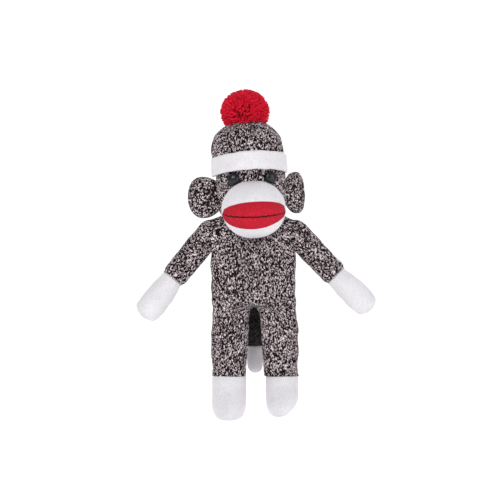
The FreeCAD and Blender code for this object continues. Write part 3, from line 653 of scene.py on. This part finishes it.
def bodyHalf(sign):
    # rows from the collar to the ankle over one half; each row goes front, outside, back
    bottom = body["ankle"]
    start, close = body["split"]
    turn = np.radians(np.linspace(0, 90, 60))
    middleTop = np.array([0.0, midY, start])
    crotch = {}
    for word, way in (("front", -1), ("back", 1)):
        line = skinAlong(middleTop, np.stack([0 * turn, way * np.cos(turn), -np.sin(turn)], -1))
        length = np.concatenate([[0], np.cumsum(np.linalg.norm(np.diff(line, axis=0), axis=1))])
        crotch[word] = (length / length[-1], line)
    lowest = crotch["front"][1][-1, 2]
    t = np.linspace(0, 1, body["halfColumns"] + 1)
    grid = []
    for z in bodyHeights:
        q = np.clip((start - z) / (start - close), 0, 1)
        legX = profileAt(body["legMiddle"]["left" if sign > 0 else "right"], np.array([min(z, 150)]))[0, 0]
        ox = legX * q * q * (3 - 2 * q)
        if z >= start:
            frontEnd, backEnd, innerZ = 90.0, 90.0, (z, z)
        elif z > close:
            sides = []
            for word in ("front", "back"):
                part, line = crotch[word]
                spot = np.array([np.interp(q, part, line[:, k]) for k in range(3)])
                sides.append((90 + math.degrees(math.atan2(ox, abs(spot[1] - midY) + 1e-6)), spot[2]))
            frontEnd, backEnd, innerZ = sides[0][0], sides[1][0], (sides[0][1], sides[1][1])
        else:
            f = (close - z) / (close - bottom)
            inner = lowest - 0.8 + (bottom - lowest + 0.8) * f
            frontEnd, backEnd, innerZ = 180.0, 180.0, (inner, inner)
        angle = np.radians(np.where(t < 0.5, -frontEnd * (1 - 2 * t), backEnd * (2 * t - 1)))
        part = np.where(t < 0.5, np.abs(1 - 2 * t), np.abs(2 * t - 1))
        edge = np.where(t < 0.5, innerZ[0], innerZ[1])
        height = z + (edge - z) * (1 - np.cos(np.pi * part)) / 2
        origin = np.stack([np.full_like(t, sign * ox), np.full_like(t, midY), height], -1)
        way = np.stack([sign * np.cos(angle), np.sin(angle), 0 * t], -1)
        grid.append(skinAlong(origin, way))
    grid = np.array(grid)
    grid[bodyHeights > close, 0, 0] = grid[bodyHeights > close, -1, 0] = 0.0
    return grid


bodyTop = 249.5
bodyHeights = np.linspace(bodyTop, body["ankle"], int(round((bodyTop - body["ankle"]) / body["step"])) + 1)
halves = {end: bodyHalf(sign) for end, sign in ends.items()}
closedFrom = int(np.argmax(bodyHeights <= body["split"][1]))
print("body and legs are laid out")


def bodyPad():
    # the whole skin is one pad, so both halves are welded along the middle and round each leg
    points, faces, whole = [], [], {}
    for end in ends:
        grid = halves[end]
        rows, columns = grid.shape[:2]
        number = np.zeros((rows, columns), int)
        for r in range(rows):
            for c in range(columns):
                if end == "right" and c in (0, columns - 1) and r < closedFrom:
                    number[r, c] = whole["left"][r, c]
                elif c == columns - 1 and r >= closedFrom:
                    number[r, c] = number[r, 0]
                else:
                    number[r, c] = len(points)
                    points.append(grid[r, c])
        whole[end] = number
        a, b, c, d = number[:-1, :-1], number[1:, :-1], number[1:, 1:], number[:-1, 1:]
        quads = np.stack([a, b, c, d] if end == "left" else [a, d, c, b], -1).reshape(-1, 4)
        faces += [tuple(dict.fromkeys(q.tolist())) for q in quads]
    points = np.array(points)
    rings = [whole[end][-1, :-1] for end in ends]
    rings[0] = rings[0][::-1]
    rings.append(np.concatenate([whole["left"][0], whole["right"][0, 1:-1][::-1]]))
    for ring in rings:  # both ankles and the neck are shut
        points = np.concatenate([points, points[ring].mean(0)[None]])
        faces += [(len(points) - 1, int(v), int(w)) for v, w in zip(ring, np.roll(ring, -1))]
    held = sorted({int(v) for end in ends for v in np.concatenate([whole[end][:2], whole[end][-2:]]).ravel()})
    return points, [f for f in faces if len(f) > 2], whole, held


# head, limbs and tail as cages
def turned(degrees, axis):
    return np.array(Matrix.Rotation(math.radians(degrees), 3, axis))


headTurn = turned(toy["lean"], "Y") @ turned(toy["turn"], "Z")
neckPoint = np.array([*toy["middle"], toy["neck"]])


def onHead(points):
    return neckPoint + (np.asarray(points, float) - neckPoint) @ headTurn.T


def upright(keys, columns, x=midX, step=4.2, power=2.0, start=None, end=None):
    # keys: height, half width, half depth, side shift, front shift, from the top down
    rows = domed([(-k[0],) + tuple(k[1:]) for k in keys], start, end)
    return ringCage(rows, step, columns, (x, midY, 0), (1, 0, 0), (0, -1, 0), (0, 0, -1), power)


head = {
    "sections": [(322, 40.6, 38.4), (304, 42.4, 40.0), (290, 42.9, 40.2), (272, 42.7, 40.0), (261, 41.8, 39.0),
                 (254, 39.4, 36.4)],
    "chin": 9.0,
    "wales": 138,
}
addCage("head", onHead(upright(head["sections"], 56, end=head["chin"])), pinned=(1, 0), cap=1.6, seed=3)

hat = {
    "crown": [(314, 43.6, 41.0, -1.4), (324, 44.2, 41.6, -1.8), (333, 44.0, 41.6, -2.2), (341, 42.4, 40.2, -2.4),
              (348, 39.0, 37.4, -2.3), (354.5, 33.4, 32.4, -2.0), (360.5, 25.5, 25.0, -1.4), (365, 14, 14),
              (366.6, 6, 6), (367, 1, 1)],
    "cuff": [(323.0, 43.0, 40.8), (324.8, 44.0, 41.8), (324.2, 45.2, 42.8), (318, 46.0, 43.6), (310, 46.4, 44.0),
             (304.8, 46.0, 43.6), (302.4, 45.0, 42.6), (303.2, 43.2, 40.8)],
    "arc": 4.4,  # how much lower the band hangs at its sides
    "wales": 140,
    "cuffWales": 150,
}
addCage("crown", onHead(upright(hat["crown"][::-1], 56)), pinned=(0, 1), cap=1.2, seed=4, shrink=0.4, lumpy=0.6)


def cuffCage():
    grid = upright(hat["cuff"], 72, step=2.4)
    grid[..., 0] -= 0.8
    grid[..., 2] += 1.6 - hat["arc"] * ((grid[..., 0] - midX) / 45) ** 2
    return onHead(grid)


addCage("cuff", cuffCage(), pinned=(0, 0), cap=0.7, seed=5, shrink=0.1, lumpy=0.5)

muzzle = {"middle": (-1.5, -20.5, 256.0), "half": (39.0, 37.0, 35.4), "wales": 112}


def muzzleCage():
    lift = np.radians(np.linspace(2.5, 177.5, 30))
    angle = np.arange(64) / 64 * math.tau
    high, wide = np.cos(lift)[:, None], np.sin(lift)[:, None] ** 0.94
    x = muzzle["middle"][0] + muzzle["half"][0] * wide * np.sin(angle)
    y = muzzle["middle"][1] - muzzle["half"][1] * wide * np.cos(angle)
    z = muzzle["middle"][2] + muzzle["half"][2] * high + 0 * x
    # it is sewn to the face above the neck, and stays clear of the chest below
    t = np.clip((z - 246) / 12, 0, 1)
    limit = -25.5 + 21.0 * t * t * (3 - 2 * t)
    y = limit - np.logaddexp(0, (limit - y) / 1.5) * 1.5
    return onHead(np.stack([x, y, z], -1))


addCage("muzzle", muzzleCage(), cap=1.0, seed=6, shrink=0.5, lumpy=0.25)

ear = {"out": 48.0, "middle": 12.2, "half": (18.4, 6.4, 26.0), "root": 1.45, "height": 274.5, "cup": 2.6,
       "fold": {"left": 54.0, "right": 8.0}, "wales": 44}
earSpot = {end: np.array([midX + sign * ear["out"], midY, ear["height"]])
           for end, sign in ends.items()}


def earCage(end, sign):
    lift = np.radians(np.linspace(3, 177, 20))
    angle = np.arange(36) / 36 * math.tau
    wide = np.sin(lift)[:, None] ** 0.9
    x = ear["half"][0] * wide * np.sin(angle)
    y = -ear["half"][1] * wide**0.7 * np.cos(angle)
    z = ear["half"][2] * np.cos(lift)[:, None] + 0 * x
    x = np.where(sign * x < 0, x * ear["root"], x)
    edge = (np.clip(sign * x, 0, None) / ear["half"][0]) ** 2 + (z / ear["half"][2]) ** 2
    y = y + ear["cup"] * (1 - edge) - ear["cup"] / 2
    points = np.stack([x + sign * ear["middle"], y, z], -1) @ turned(sign * ear["fold"][end], "Z").T
    return onHead(points + earSpot[end])


arm = {
    "sleeve": [(0, 16.2, 16.4), (12, 16.4, 16.3), (35, 16.4, 15.7), (58, 15.6, 14.9), (70, 15.0, 14.4),
               (71.8, 13.6, 13.4)],
    "hand": [(69.8, 12.8, 12.6), (73.6, 13.5, 13.2), (84, 15.2, 14.2, 0.7), (99, 16.8, 15.0, 1.5),
             (111, 17.2, 15.0, 1.8), (123, 15.8, 13.4, 1.8)],
    "nail": 10.4,
    "wales": 52,
    "handWales": 52,
}


def armLine(end):
    # where the arm starts, which way it goes, and the side of its rings
    a = math.radians(toy["armAngle"][end]) * ends[end]
    return shoulderOf(end), np.array([math.sin(a), 0, -math.cos(a)]), np.array([math.cos(a), 0, math.sin(a)])


foot = {
    "sections": [(54.4, 19.2, 19.4, 0, 0), (51.6, 20.5, 20.8, 0, 0.2), (40, 21.0, 22.4, 0, 1.8),
                 (28, 21.0, 24.8, 0, 4.4), (17, 20.7, 27.0, 0, 7.0), (8.6, 19.0, 26.6, 0, 8.2), (3.6, 16.2, 24.2, 0, 8.5),
                 (1.0, 12.2, 20.0, 0, 8.5), (0.2, 6.5, 12, 0, 8.5), (0, 1, 2, 0, 8.5)],
    "slim": {"left": 0.95, "right": 1.0},
    "roll": (28.0, 20.0, 8.5, 3.2),  # left sole: its lowest x, how far out its side rises, by how much, and its lift
    "x": {"left": 34.3, "right": -30.5},
    "wales": 68,
}
tail = {
    "tube": [(0, 8.3, 8.3), (12, 8.4, 8.4), (36, 8.8, 8.8), (54, 9.2, 9.0), (58.6, 8.5, 8.4)],
    "tip": [(58, 8.3, 8.2), (60.6, 9.4, 9.2), (72, 10.2, 9.8), (84, 9.5, 9.2)],
    "round": 9.0,
    "wales": 29,
    "tipWales": 32,
}


def tailCage(keys, start, end):
    rows = domed(keys, start, end)
    return ringCage(rows, 3.6, 24, toy["tail"], (1, 0, 0), (0, -1, 0), (0, 0, -1))


for seed, (end, sign) in enumerate(ends.items()):
    origin, along, side = armLine(end)
    addCage("ear" + end, earCage(end, sign), cap=1.0, seed=10 + seed, shrink=0.5, lumpy=0.4)
    tube = ringCage(domed(arm["sleeve"], 16.2, 1.5), 3.8, 32, origin, side, (0, -1, 0), along)
    addCage("sleeve" + end, tube, pinned=(2, 5), cap=1.3, seed=20 + seed)
    tube = ringCage(domed(arm["hand"], 1.5, arm["nail"]), 3.6, 32, origin, side, (0, -1, 0), along, 2.1)
    addCage("hand" + end, tube, pinned=(3, 0), cap=1.3, seed=30 + seed)
    grid = upright(foot["sections"], 44, x=foot["x"][end], power=2.1, start=1.5)
    grid[..., 0] = foot["x"][end] + (grid[..., 0] - foot["x"][end]) * foot["slim"][end]
    if end == "left":
        # this sole is rolled inwards, so its outer edge is off the floor
        rest, reach, rise, raised = foot["roll"]
        grid[..., 2] += np.clip(1 - grid[..., 2] / 44, 0, 1) * (raised + rise * ((grid[..., 0] - rest) / reach) ** 2)
    addCage("foot" + end, grid, pinned=(3, 3), cap=1.2, seed=40 + seed, shrink=0.4)
addCage("tail", tailCage(tail["tube"], 8.3, 1.2), pinned=(2, 4), cap=0.8, seed=50, shrink=0.4, lumpy=0.3)
addCage("tailTip", tailCage(tail["tip"], 1.2, tail["round"]), pinned=(3, 0), cap=0.8, seed=51, shrink=0.4, lumpy=0.3)
for end, sign in ends.items():
    grid = halves[end]
    out = np.cross(np.gradient(grid, axis=0), np.gradient(grid, axis=1)) * sign
    out /= np.linalg.norm(out, axis=-1, keepdims=True) + 1e-9
    out[:, [0, -1]] = 0
    halves[end] = grid + out * (lumps(grid, 0.7, 60) - 0.5)[..., None]
bodyPoints, bodyFaces, bodyIndex, bodyHeld = bodyPad()
cages["body"] = {"grid": bodyPoints, "faces": bodyFaces, "held": bodyHeld, "cap": 1.6}
stuffAll()
bodyPoints = cages["body"]["grid"]
print("stuffing is in")


# body and legs
splitRow = int(np.argmax(bodyHeights < body["split"][0])) - 1
for end in ends:
    halves[end] = bodyPoints[bodyIndex[end]]


def bodyCover():
    rings = zip(halves["left"][: splitRow + 2], halves["right"][: splitRow + 2])
    grid = np.array([np.concatenate([left, right[1:-1][::-1]]) for left, right in rings])
    courses, rows = coursesOn(grid[:-1], "marl")
    grid = np.concatenate([2 * grid[:1] - grid[1:2], grid], 0)
    columnCount = body["wales"] * pointsAcross
    columns = np.arange(columnCount) / columnCount * grid.shape[1]
    place, outward, _ = weave(np.concatenate([grid[:, -1:], grid, grid[:, :2]], 1), rows, columns)
    piece = coverMesh("bodyCover", place, outward, np.arange(columnCount) / pointsAcross,
                      -np.arange(len(rows)) / pointsAlong, np.ones(place.shape[:2]), True, True, "marl")
    return piece, courses


def legCover(end, firstCourse):
    own, other = halves[end], halves["right" if end == "left" else "left"]
    padded = []
    for r in range(splitRow - 1, len(own)):
        closedRow = r >= closedFrom
        before = own[r, -2] if closedRow else other[r, 1]
        after = own[r, 1:3] if closedRow else other[r, [-2, -3]]
        padded.append(np.concatenate([before[None], own[r], after]))
    padded = np.array(padded)
    padded = np.concatenate([padded, 2 * padded[-1:] - padded[-2:-1]], 0)
    _, rows = coursesOn(padded[1:-1, 1:-2], "marl")
    half = body["wales"] // 2
    columnCount = half * pointsAcross
    columns = np.arange(columnCount + 1) / columnCount * (own.shape[1] - 1)
    place, outward, stretch = weave(padded, rows, columns)
    wale = np.arange(columnCount + 1) / pointsAcross
    fade = np.clip((stretch * (own.shape[1] - 1) / half - 0.8) / 1.6, 0.2, 1)
    if end == "right":
        # the other side mirrors the order of its wales, so its faces still look outwards
        place, outward, fade = place[:, ::-1], -outward[:, ::-1], fade[:, ::-1]
        wale = half + wale
    course = -(np.arange(len(rows)) / pointsAlong + firstCourse)
    return coverMesh("legCover_" + end, place, outward, wale, course, fade, False, False, "marl")


trunkPiece, courseCount = bodyCover()
finish(trunkPiece, ("torso_skin", "torso_stuffing"), ride="trunk")
for end, sign in ends.items():
    piece = legCover(end, courseCount)
    finish(piece, (f"leg_skin_{end}", f"leg_stuffing_{end}"),
           bend=("trunk", f"leg_{end}", (sign * toy["hip"], midY, 136), (sign * toy["hip"], midY, 100)))
print("body and legs are knitted")


# arms, hands, feet and tail
for end, sign in ends.items():
    origin, along, side = armLine(end)
    piece = knitCover("sleeve_" + end, cages["sleeve" + end]["grid"], "marl", arm["wales"])
    nodes = (f"sleeve_skin_{end}", f"sleeve_stuffing_{end}", f"shoulder_stuffing_{end}")
    finish(piece, nodes, ride=f"arm_{end}")
    piece = knitCover("hand_" + end, cages["hand" + end]["grid"], "white", arm["handWales"])
    finish(piece, (f"hand_skin_{end}", f"hand_stuffing_{end}"),
           bend=(f"arm_{end}", f"hand_{end}", origin + along * 71, origin + along * 84))
    piece = knitCover("foot_" + end, cages["foot" + end]["grid"], "white", foot["wales"])
    finish(piece, (f"foot_skin_{end}", f"foot_stuffing_{end}"),
           bend=(f"leg_{end}", f"foot_{end}", (sign * toy["hip"], midY, 53), (sign * toy["hip"], midY, 42)))
piece = knitCover("tailCover", cages["tail"]["grid"], "dark", tail["wales"])
finish(piece, ("tail_skin", "tail_stuffing"), ride="tail")
piece = knitCover("tailTip", cages["tailTip"]["grid"], "white", tail["tipWales"])
x, y, z = toy["tail"]
finish(piece, ("tail_tip_skin", "tail_tip_stuffing"),
       bend=("tail", "tail_tip", (x, y, z - 59), (x, y, z - 67)))
print("arms, hands, feet and tail are knitted")


# head, hat, muzzle and ears
grid = cages["head"]["grid"]
for end in ends:
    # the skin is drawn in behind each eye
    low, high = (np.array(v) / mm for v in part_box("eye_" + end))
    eyeSpot = np.array([(low[0] + high[0]) / 2, low[1] + 5, (low[2] + high[2]) / 2])
    near = np.exp(-((np.linalg.norm(grid - eyeSpot, axis=-1) / 11) ** 4))
    cages["head"]["grid"] = grid = grid - normalsOf(grid) * (5.2 * near)[..., None]
piece = knitCover("headCover", cages["head"]["grid"], "marl", head["wales"])
finish(piece, ("head_skin", "head_stuffing", "neck_stuffing"), ride="head")
piece = knitCover("hatCrown", cages["crown"]["grid"], "marl", hat["wales"])
finish(piece, ("hat_crown",), ride="head")
piece = knitCover("hatCuff", cages["cuff"]["grid"], "white", hat["cuffWales"])
finish(piece, ("hat_cuff",), ride="head")
muzzlePiece = knitCover("muzzleCover", cages["muzzle"]["grid"], "white", muzzle["wales"])
finish(muzzlePiece, ("muzzle_skin", "muzzle_stuffing"), ride="head")
for end, sign in ends.items():
    piece = knitCover("ear_" + end, cages["ear" + end]["grid"], "marl", ear["wales"])
    out = headTurn @ turned(sign * ear["fold"][end], "Z") @ np.array([sign, 0, 0])
    root = onHead(earSpot[end])
    finish(piece, (f"ear_skin_{end}", f"ear_stuffing_{end}"),
           bend=("head", f"ear_{end}", root - out * 3, root + out * 5))
print("head, hat, muzzle and ears are knitted")


# mouth, eyes and pom-pom
def onSkin(tree, x, z, proud):
    # the point on a finished cover in front of (x, z), lifted proud of it
    places = []
    for px, pz, lift in np.broadcast(x, z, proud):
        start = Vector((px, -90.0, pz)) * mm
        hit, normal, _, _ = tree.ray_cast(start, Vector((0, 1, 0)))
        if hit is None or hit.y > -0.012:
            hit, normal, _, _ = tree.find_nearest(Vector((px, -38.0, pz)) * mm)
        places.append(np.array(hit + normal * lift * mm) / mm)
    return np.array(places).reshape(np.broadcast(x, z, proud).shape + (3,))


def treeOf(piece):
    mesh = piece.data
    return BVHTree.FromPolygons([v.co.copy() for v in mesh.vertices], [tuple(p.vertices) for p in mesh.polygons])


mouth = {  # outline of the patch: across, height
    "top": [(-37.6, 249.7), (-36.6, 253.6), (-33.0, 257.0), (-26, 259.8), (-16, 262.2), (0, 264.0), (14, 264.4),
            (26, 263.6), (33, 261.6), (36.4, 257.6), (37.4, 253.0)],
    "bottom": [(-37.6, 248.7), (-35.8, 243.8), (-32, 239.4), (-24, 234.8), (-13, 232.2), (1, 231.7), (13, 233.8),
               (24, 238.2), (32, 243.4), (36, 248.2), (37.4, 252.6)],
    "line": [(-37, 249.4), (-30, 247.2), (-20, 246.0), (-8, 245.6), (4, 245.8), (16, 247.0), (27, 248.8),
             (36.6, 251.4)],
    "thick": 1.3,
    "wales": 44,
}


def lipCage():
    across = np.sin(np.radians(np.linspace(-87, 87, 44)))
    x = -0.1 + 37.5 * across
    turn = np.arange(40) / 40 * math.tau
    top, bottom = (profileAt(mouth[word], x)[..., 0] for word in ("top", "bottom"))
    high, middle = (top - bottom)[:, None] / 2, (top + bottom)[:, None] / 2
    z = middle - high * np.sign(np.cos(turn)) * np.abs(np.cos(turn)) ** 0.8
    proud = np.where(np.sin(turn) > 0, mouth["thick"], -1.0) * np.abs(np.sin(turn)) ** 0.6
    return onSkin(muzzleTree, x[:, None] + 0 * turn, z, proud + 0 * z)


muzzleTree = treeOf(muzzlePiece)
lipsPiece = knitCover("mouthPatch", lipCage(), "red", mouth["wales"])
finish(lipsPiece, ("lips",), ride="head")

# sewn stitches: one small bent thread on each vertex of a path
stitchTree, inner, outer = newTree("sewnStitches", {
    "Stitch length": "NodeSocketFloat", "Thread thickness": "NodeSocketFloat", "Crookedness": "NodeSocketFloat",
    "Material": "NodeSocketMaterial"})
thick = inner.outputs["Thread thickness"]
thread = addNode(stitchTree, "GeometryNodeMeshUVSphere", {"Segments": 8, "Rings": 6, "Radius": 0.5})
shape = addNode(stitchTree, "ShaderNodeCombineXYZ", {0: thick, 1: thick, 2: inner.outputs["Stitch length"]})
scaled = addNode(stitchTree, "GeometryNodeTransform", {"Geometry": thread.outputs["Mesh"], "Scale": shape.outputs[0]})
way = addNode(stitchTree, "GeometryNodeInputNamedAttribute", {"Name": "way"}, data_type="FLOAT_VECTOR")
wobble = addNode(stitchTree, "FunctionNodeRandomValue", {"Min": (-1, -1, -1), "Max": (1, 1, 1), "Seed": 7},
                 data_type="FLOAT_VECTOR")
crook = stretched(stitchTree, wobble.outputs[0], inner.outputs["Crookedness"])
lean = calcVector(stitchTree, "ADD", way.outputs[0], crook)
aim = addNode(stitchTree, "FunctionNodeAlignRotationToVector", {"Vector": lean}, axis="Z")
spots = addNode(stitchTree, "GeometryNodeInstanceOnPoints", {
    "Points": inner.outputs["Geometry"], "Instance": scaled.outputs[0], "Rotation": aim.outputs[0]})
finishTree(stitchTree, spots.outputs[0], inner, outer)


def sewn(name, places, ways, length, thick, crooked, paint, nodes, ride):
    mesh = bpy.data.meshes.new(name)
    mesh.from_pydata((np.asarray(places) * mm).tolist(), [], [])
    ways = np.asarray(ways, np.float32).ravel()
    mesh.attributes.new("way", "FLOAT_VECTOR", "POINT").data.foreach_set("vector", ways)
    piece = bake(addObject(name, mesh), stitchTree, {
        "Stitch length": length * mm, "Thread thickness": thick * mm, "Crookedness": crooked, "Material": paint}, name)
    piece.data.polygons.foreach_set("use_smooth", [True] * len(piece.data.polygons))
    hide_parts(*nodes)
    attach(piece, ride)


x = np.linspace(-36.2, 36.2, 27)
lineHeight = profileAt(mouth["line"], x)[..., 0] + 0.3 * np.sin(x * 0.85)
lineSpots = onSkin(treeOf(lipsPiece), x, lineHeight, 0.15 + 0 * x)
sewn("mouthStitches", lineSpots, np.gradient(lineSpots, axis=0), 3.3, 1.9, 0.08, mouthPaint,
     ("mouth_thread",), "head")


def ringStitches(name, middle, along, side, reach, count, nodes, ride):
    # small whip stitches over the seam where a white end is sewn on
    turn = np.arange(count)[:, None] / count * math.tau
    out = np.sin(turn) * side + np.cos(turn) * np.array([0, -1.0, 0])
    around = np.cos(turn) * side - np.sin(turn) * np.array([0, -1.0, 0])
    sewn(name, middle + out * reach, along + 0.55 * around, 2.6, 0.7, 0.15, threadPaint, nodes, ride)


down, right = np.array([0, 0, -1.0]), np.array([1.0, 0, 0])
for end in ends:
    origin, along, side = armLine(end)
    ringStitches("wristStitches_" + end, origin + along * 72.2, along, side, 13.3, 34,
                 (f"wrist_seam_{end}",), f"arm_{end}")
    ringStitches("ankleStitches_" + end, np.array([foot["x"][end], midY, 53.4]), down, right, 20.2, 48,
                 (f"ankle_seam_{end}",), f"leg_{end}")
ringStitches("tailStitches", np.array(toy["tail"]) - (0, 0, 59.0), down, right, 8.8, 20, ("tail_seam",), "tail")

closing = {"low": 166.0, "high": 212.0, "count": 9, "x": -1.5}
bodyTree = treeOf(trunkPiece)
spotsUp = []
for z in np.linspace(closing["low"], closing["high"], closing["count"]):
    hit, normal, _, _ = bodyTree.ray_cast(Vector((closing["x"], 90, z)) * mm, Vector((0, -1, 0)))
    spotsUp.append(np.array(hit) / mm + (0, 0.15, 0))
slants = [(1.0, 0, 0.5 * (-1) ** k) for k in range(len(spotsUp))]
sewn("closingStitches", spotsUp, slants, 5.6, 0.9, 0.08, threadPaint, ("back_seam_stitches",), "trunk")
print("mouth and seams are sewn")

# the pom-pom: cut yarn ends standing out all round a core
pom = {"middle": (-4.0, 9.5, 372.0), "core": (8.0, 8.0, 6.0), "length": 20.0, "thick": 0.72, "count": 3000,
       "lift": 0.2, "low": -3.2, "crimp": 2.2, "ragged": (0.84, 1.12), "tilt": 0.12}
pomTree, inner, outer = newTree("cutYarn", {
    "Yarn length": "NodeSocketFloat", "Yarn thickness": "NodeSocketFloat", "Yarns per area": "NodeSocketFloat",
    "Crimp": "NodeSocketFloat", "Material": "NodeSocketMaterial"})
thick = inner.outputs["Yarn thickness"]
spread = addNode(pomTree, "GeometryNodeDistributePointsOnFaces", {
    "Mesh": inner.outputs["Geometry"], "Density": inner.outputs["Yarns per area"], "Seed": 11})
yarnEnd = addNode(pomTree, "GeometryNodeMeshCone", {
    "Vertices": 6, "Side Segments": 5, "Fill Segments": 1, "Depth": inner.outputs["Yarn length"],
    "Radius Top": calc(pomTree, "MULTIPLY", thick, 1.15), "Radius Bottom": calc(pomTree, "MULTIPLY", thick, 0.7)})
tilt = addNode(pomTree, "FunctionNodeRandomValue", {
    "Min": (-pom["tilt"],) * 3, "Max": (pom["tilt"],) * 3, "Seed": 12}, data_type="FLOAT_VECTOR")
lean = calcVector(pomTree, "ADD", spread.outputs["Normal"], tilt.outputs[0])
aim = addNode(pomTree, "FunctionNodeAlignRotationToVector", {"Vector": lean}, axis="Z")
low, high = pom["ragged"]
grow = addNode(pomTree, "FunctionNodeRandomValue", {2: low, 3: high, "Seed": 13}, data_type="FLOAT")
# yarn that points up is longer, so the ball stands on the hat
split = addNode(pomTree, "ShaderNodeSeparateXYZ", {0: spread.outputs["Normal"]})
taller = calc(pomTree, "ADD", grow.outputs[1], calc(pomTree, "MULTIPLY", split.outputs[2], pom["lift"]))
spots = addNode(pomTree, "GeometryNodeInstanceOnPoints", {
    "Points": spread.outputs["Points"], "Instance": yarnEnd.outputs["Mesh"], "Rotation": aim.outputs[0],
    "Scale": taller})
solid = addNode(pomTree, "GeometryNodeRealizeInstances", {"Geometry": spots.outputs[0]})
curl = addNode(pomTree, "ShaderNodeTexNoise", {"Scale": 90.0, "Detail": 1.0})
swing = calcVector(pomTree, "SUBTRACT", curl.outputs["Color"], (0.5, 0.5, 0.5))
swing = stretched(pomTree, swing, inner.outputs["Crimp"])
move = addNode(pomTree, "GeometryNodeSetPosition", {"Geometry": solid.outputs[0], "Offset": swing})
finishTree(pomTree, move.outputs[0], inner, outer)

lift, around = np.radians(np.linspace(4, 176, 22))[:, None], np.arange(36) / 36 * math.tau
core = np.stack([pom["core"][0] * np.sin(lift) * np.sin(around), -pom["core"][1] * np.sin(lift) * np.cos(around),
                 pom["core"][2] * np.cos(lift) + 0 * around], -1)
core = core[core[:, 0, 2] > pom["low"]] + pom["middle"]
mesh = bpy.data.meshes.new("pomCore")
faces = gridFaces(len(core), 36).tolist() + [tuple(range(36))]
mesh.from_pydata((onHead(core).reshape(-1, 3) * mm).tolist(), [], faces)
piece = bake(addObject("pomCore", mesh), pomTree, {
    "Yarn length": pom["length"] * mm, "Yarn thickness": pom["thick"] * mm, "Crimp": pom["crimp"] * mm,
    "Yarns per area": pom["count"] / sum(p.area for p in mesh.polygons), "Material": pomPaint}, "pomPom")
piece.data.polygons.foreach_set("use_smooth", [True] * len(piece.data.polygons))
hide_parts("pompom")
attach(piece, "pompom")
print("the pom-pom is cut")

shown = {"pompom_tie": pomPaint}
shown.update({node + end: eyePaint for end in ends for node in ("eye_", "eye_washer_")})
for node, paint in shown.items():
    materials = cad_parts[node].data.materials
    materials.clear()
    materials.append(paint)
